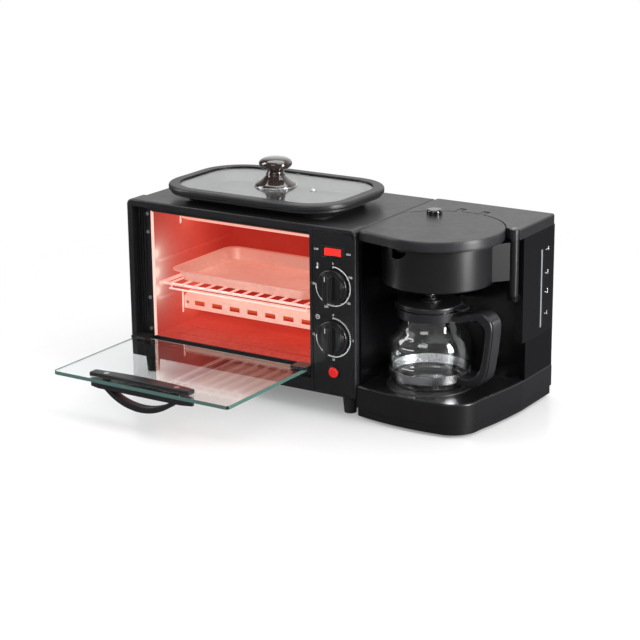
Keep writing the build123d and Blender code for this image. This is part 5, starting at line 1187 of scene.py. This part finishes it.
@dataclass
class Studio:
    """Floor, lights, world and camera.

    Attributes:
        eye: the camera's place.
        azimuth, elevation, roll: its direction from the front towards the right, its height and its lean, in degrees.
        lens: focal length in millimetres on a 36 mm sensor.
        white: level of the world for the light it gives.
        dark_level, bright_level: what reflections see in front and behind, as direction and level.
        floor_fade: where the floor starts and ends its fade to white, and the least share of white glow, painted light
            that lifts the shadows near the unit.
        floor_reach: half size of the floor.
    """

    eye: Point = (1145.47 * MM, -1751.31 * MM, 726.54 * MM)
    azimuth: float = 32.60
    elevation: float = 16.68
    roll: float = -0.55
    lens: float = 107.5
    softboxes: Sequence[Softbox] = (
        Softbox("top_box", (0.05, 0.25, 1.35), (0.0, 0.05, 0.10), (1.7, 1.0), 17.0),
        Softbox("left_box", (-1.35, -0.55, 0.85), (-0.05, 0.0, 0.12), (0.5, 1.2), 14.0),
        Softbox("right_strip", (1.45, 0.00, 0.34), (0.18, 0.0, 0.12), (0.34, 0.8), 38.0),
        Softbox("front_fill", (0.35, -1.7, 1.1), (0.0, 0.0, 0.12), (0.9, 0.7), 10.0),
    )
    white: Point = (0.82, 0.82, 0.83)
    dark_level: tuple[float, float] = (0.30, 0.045)
    bright_level: tuple[float, float] = (0.85, 0.95)
    floor_tone: Point = (0.58, 0.58, 0.585)
    floor_fade: tuple[float, float, float] = (0.40, 0.90, 0.22)
    floor_reach: float = 6.0

    def build(self) -> None:
        """Sets the whole stage."""
        self.world()
        self.floor()
        for softbox in self.softboxes:
            self.light(softbox)
        self.camera()

    def world(self) -> None:
        """White to the camera, a bright back wall to reflections, plain light to the rest."""
        bpy.context.scene.world = bpy.data.worlds.new("studio")
        s = Shader(bpy.context.scene.world, "OutputWorld")
        rays = s.node("LightPath").outputs
        ahead = s.node("SeparateXYZ", {"Vector": s.node("TexCoord").outputs["Generated"]}).outputs[1]
        wall = s.ramp(ahead, tuple((at, (level,) * 3) for at, level in (self.dark_level, self.bright_level)))
        plain = s.mix(rays["Is Glossy Ray"], self.white, wall)
        seen = s.math("MAXIMUM", rays["Is Camera Ray"], rays["Is Transmission Ray"])
        s.finish(s.out("Background", {"Color": s.mix(seen, plain, (1.0, 1.0, 1.0))}))

    def floor(self) -> None:
        """A pale floor that fades to the white backdrop, with some white glow painted in near the unit to lift its
        shadows, and looks dim in reflections.
        """
        s = Shader.named("pale_floor")
        parts = s.node("SeparateXYZ", {"Vector": s.coords()})
        x, y = parts.outputs[0], parts.outputs[1]
        away = s.math("SQRT", s.math("ADD", s.math("MULTIPLY", x, x), s.math("MULTIPLY", y, y)))
        near, far, least = self.floor_fade
        # The least share of white glow is painted light that lifts the shadows on the floor round the unit.
        fade = s.out("MapRange", {"Value": away, "From Min": near, "From Max": far, "To Min": least})
        bright = s.out("Emission", {"Color": (1.0, 1.0, 1.0), "Strength": 1.0})
        matte = s.out("BsdfPrincipled", {"Base Color": self.floor_tone, "Roughness": 0.22, "Specular IOR Level": 0.35})
        rays = s.node("LightPath").outputs
        seen = s.math("MAXIMUM", rays["Is Camera Ray"], rays["Is Transmission Ray"])
        dim = s.out("BsdfDiffuse", {"Color": (0.10, 0.10, 0.105)})
        shown = s.out("MixShader", {"Fac": s.math("MULTIPLY", fade, seen), 1: matte, 2: bright})
        bounced = s.math("SUBTRACT", rays["Is Glossy Ray"], rays["Is Transmission Ray"], clamp=True)
        material = s.finish(s.out("MixShader", {"Fac": bounced, 1: shown, 2: dim}))
        side = np.array([-self.floor_reach, self.floor_reach])
        lattice = woven(side, side[:, None], -0.0003)
        Surface().grid(lattice).build("studio_floor", material, smooth=False)

    def light(self, softbox: Softbox) -> None:
        """Sets up one softbox, which the camera doesn't see.

        Args:
            softbox: the lamp.
        """
        data = bpy.data.lights.new(softbox.name, "AREA")
        data.shape = "RECTANGLE"
        data.size, data.size_y = softbox.size
        data.energy = softbox.power
        holder = link(softbox.name, data)
        holder.location = softbox.at
        holder.rotation_euler = (Vector(softbox.target) - Vector(softbox.at)).to_track_quat("-Z", "Y").to_euler()
        holder.visible_camera = False

    def camera(self) -> None:
        """The camera that matches the photograph's view."""
        data = bpy.data.cameras.new("view_camera")
        data.lens = self.lens
        data.sensor_width = 36.0
        data.clip_start, data.clip_end = 0.05, 50.0
        holder = link("view_camera", data)
        a, e, r = (math.radians(v) for v in (self.azimuth, self.elevation, self.roll))
        ahead = -Vector((math.sin(a) * math.cos(e), -math.cos(a) * math.cos(e), math.sin(e)))
        right = ahead.cross(Vector((0, 0, 1))).normalized()
        up = right.cross(ahead)
        across = right * math.cos(r) + up * math.sin(r)
        over = up * math.cos(r) - right * math.sin(r)
        turn = Matrix((across, over, -ahead)).transposed().to_4x4()
        holder.matrix_world = Matrix.Translation(Vector(self.eye)) @ turn
        bpy.context.scene.camera = holder


class BreakfastMaker:
    """The whole look, sub-assembly by sub-assembly."""

    def __init__(self) -> None:
        """Makes the palette and the workshop."""
        self.palette = Palette()
        self.shop = Workshop(self.palette)

    def dress_cad(self) -> None:
        """Gives every CAD node its finish."""
        for name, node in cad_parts.items():
            node.data.materials.clear()
            node.data.materials.append(self.palette[CAD_FINISH[name]])
        LOG.info("dressed %d CAD nodes", len(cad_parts))

    def build(self) -> None:
        """Builds every visual piece."""
        self.dress_cad()
        upper = ((0, "0"), (60, "100"), (130, "150"), (200, "200"), (270, "250"))
        lower = ((0, "0"), (90, "5"), (180, "10"), (270, "15"))
        for part in (
            DialFace(self.shop, "temperature_dial", "temperature_knob", "temperature_dial", upper, (0, 270),
                     (20, 250, 12)),
            DialFace(self.shop, "timer_dial", "timer_knob", "timer_dial", lower, (90, 270), (0, 84, 14)),
            ControlMarks(self.shop),
            WaterGauge(self.shop),
            OvenFittings(self.shop),
            GriddleFittings(self.shop),
            CoffeeFittings(self.shop),
        ):
            part.build()
            LOG.info("%s built", type(part).__name__)


def main() -> None:
    """Builds the looks and the stage."""
    logging.basicConfig(level=logging.INFO)
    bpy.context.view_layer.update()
    BreakfastMaker().build()
    Studio().build()
    LOG.info("studio set")
    bpy.context.scene.view_settings.view_transform = "Standard"
    bpy.context.view_layer.update()


if __name__ == "__main__":
    main()
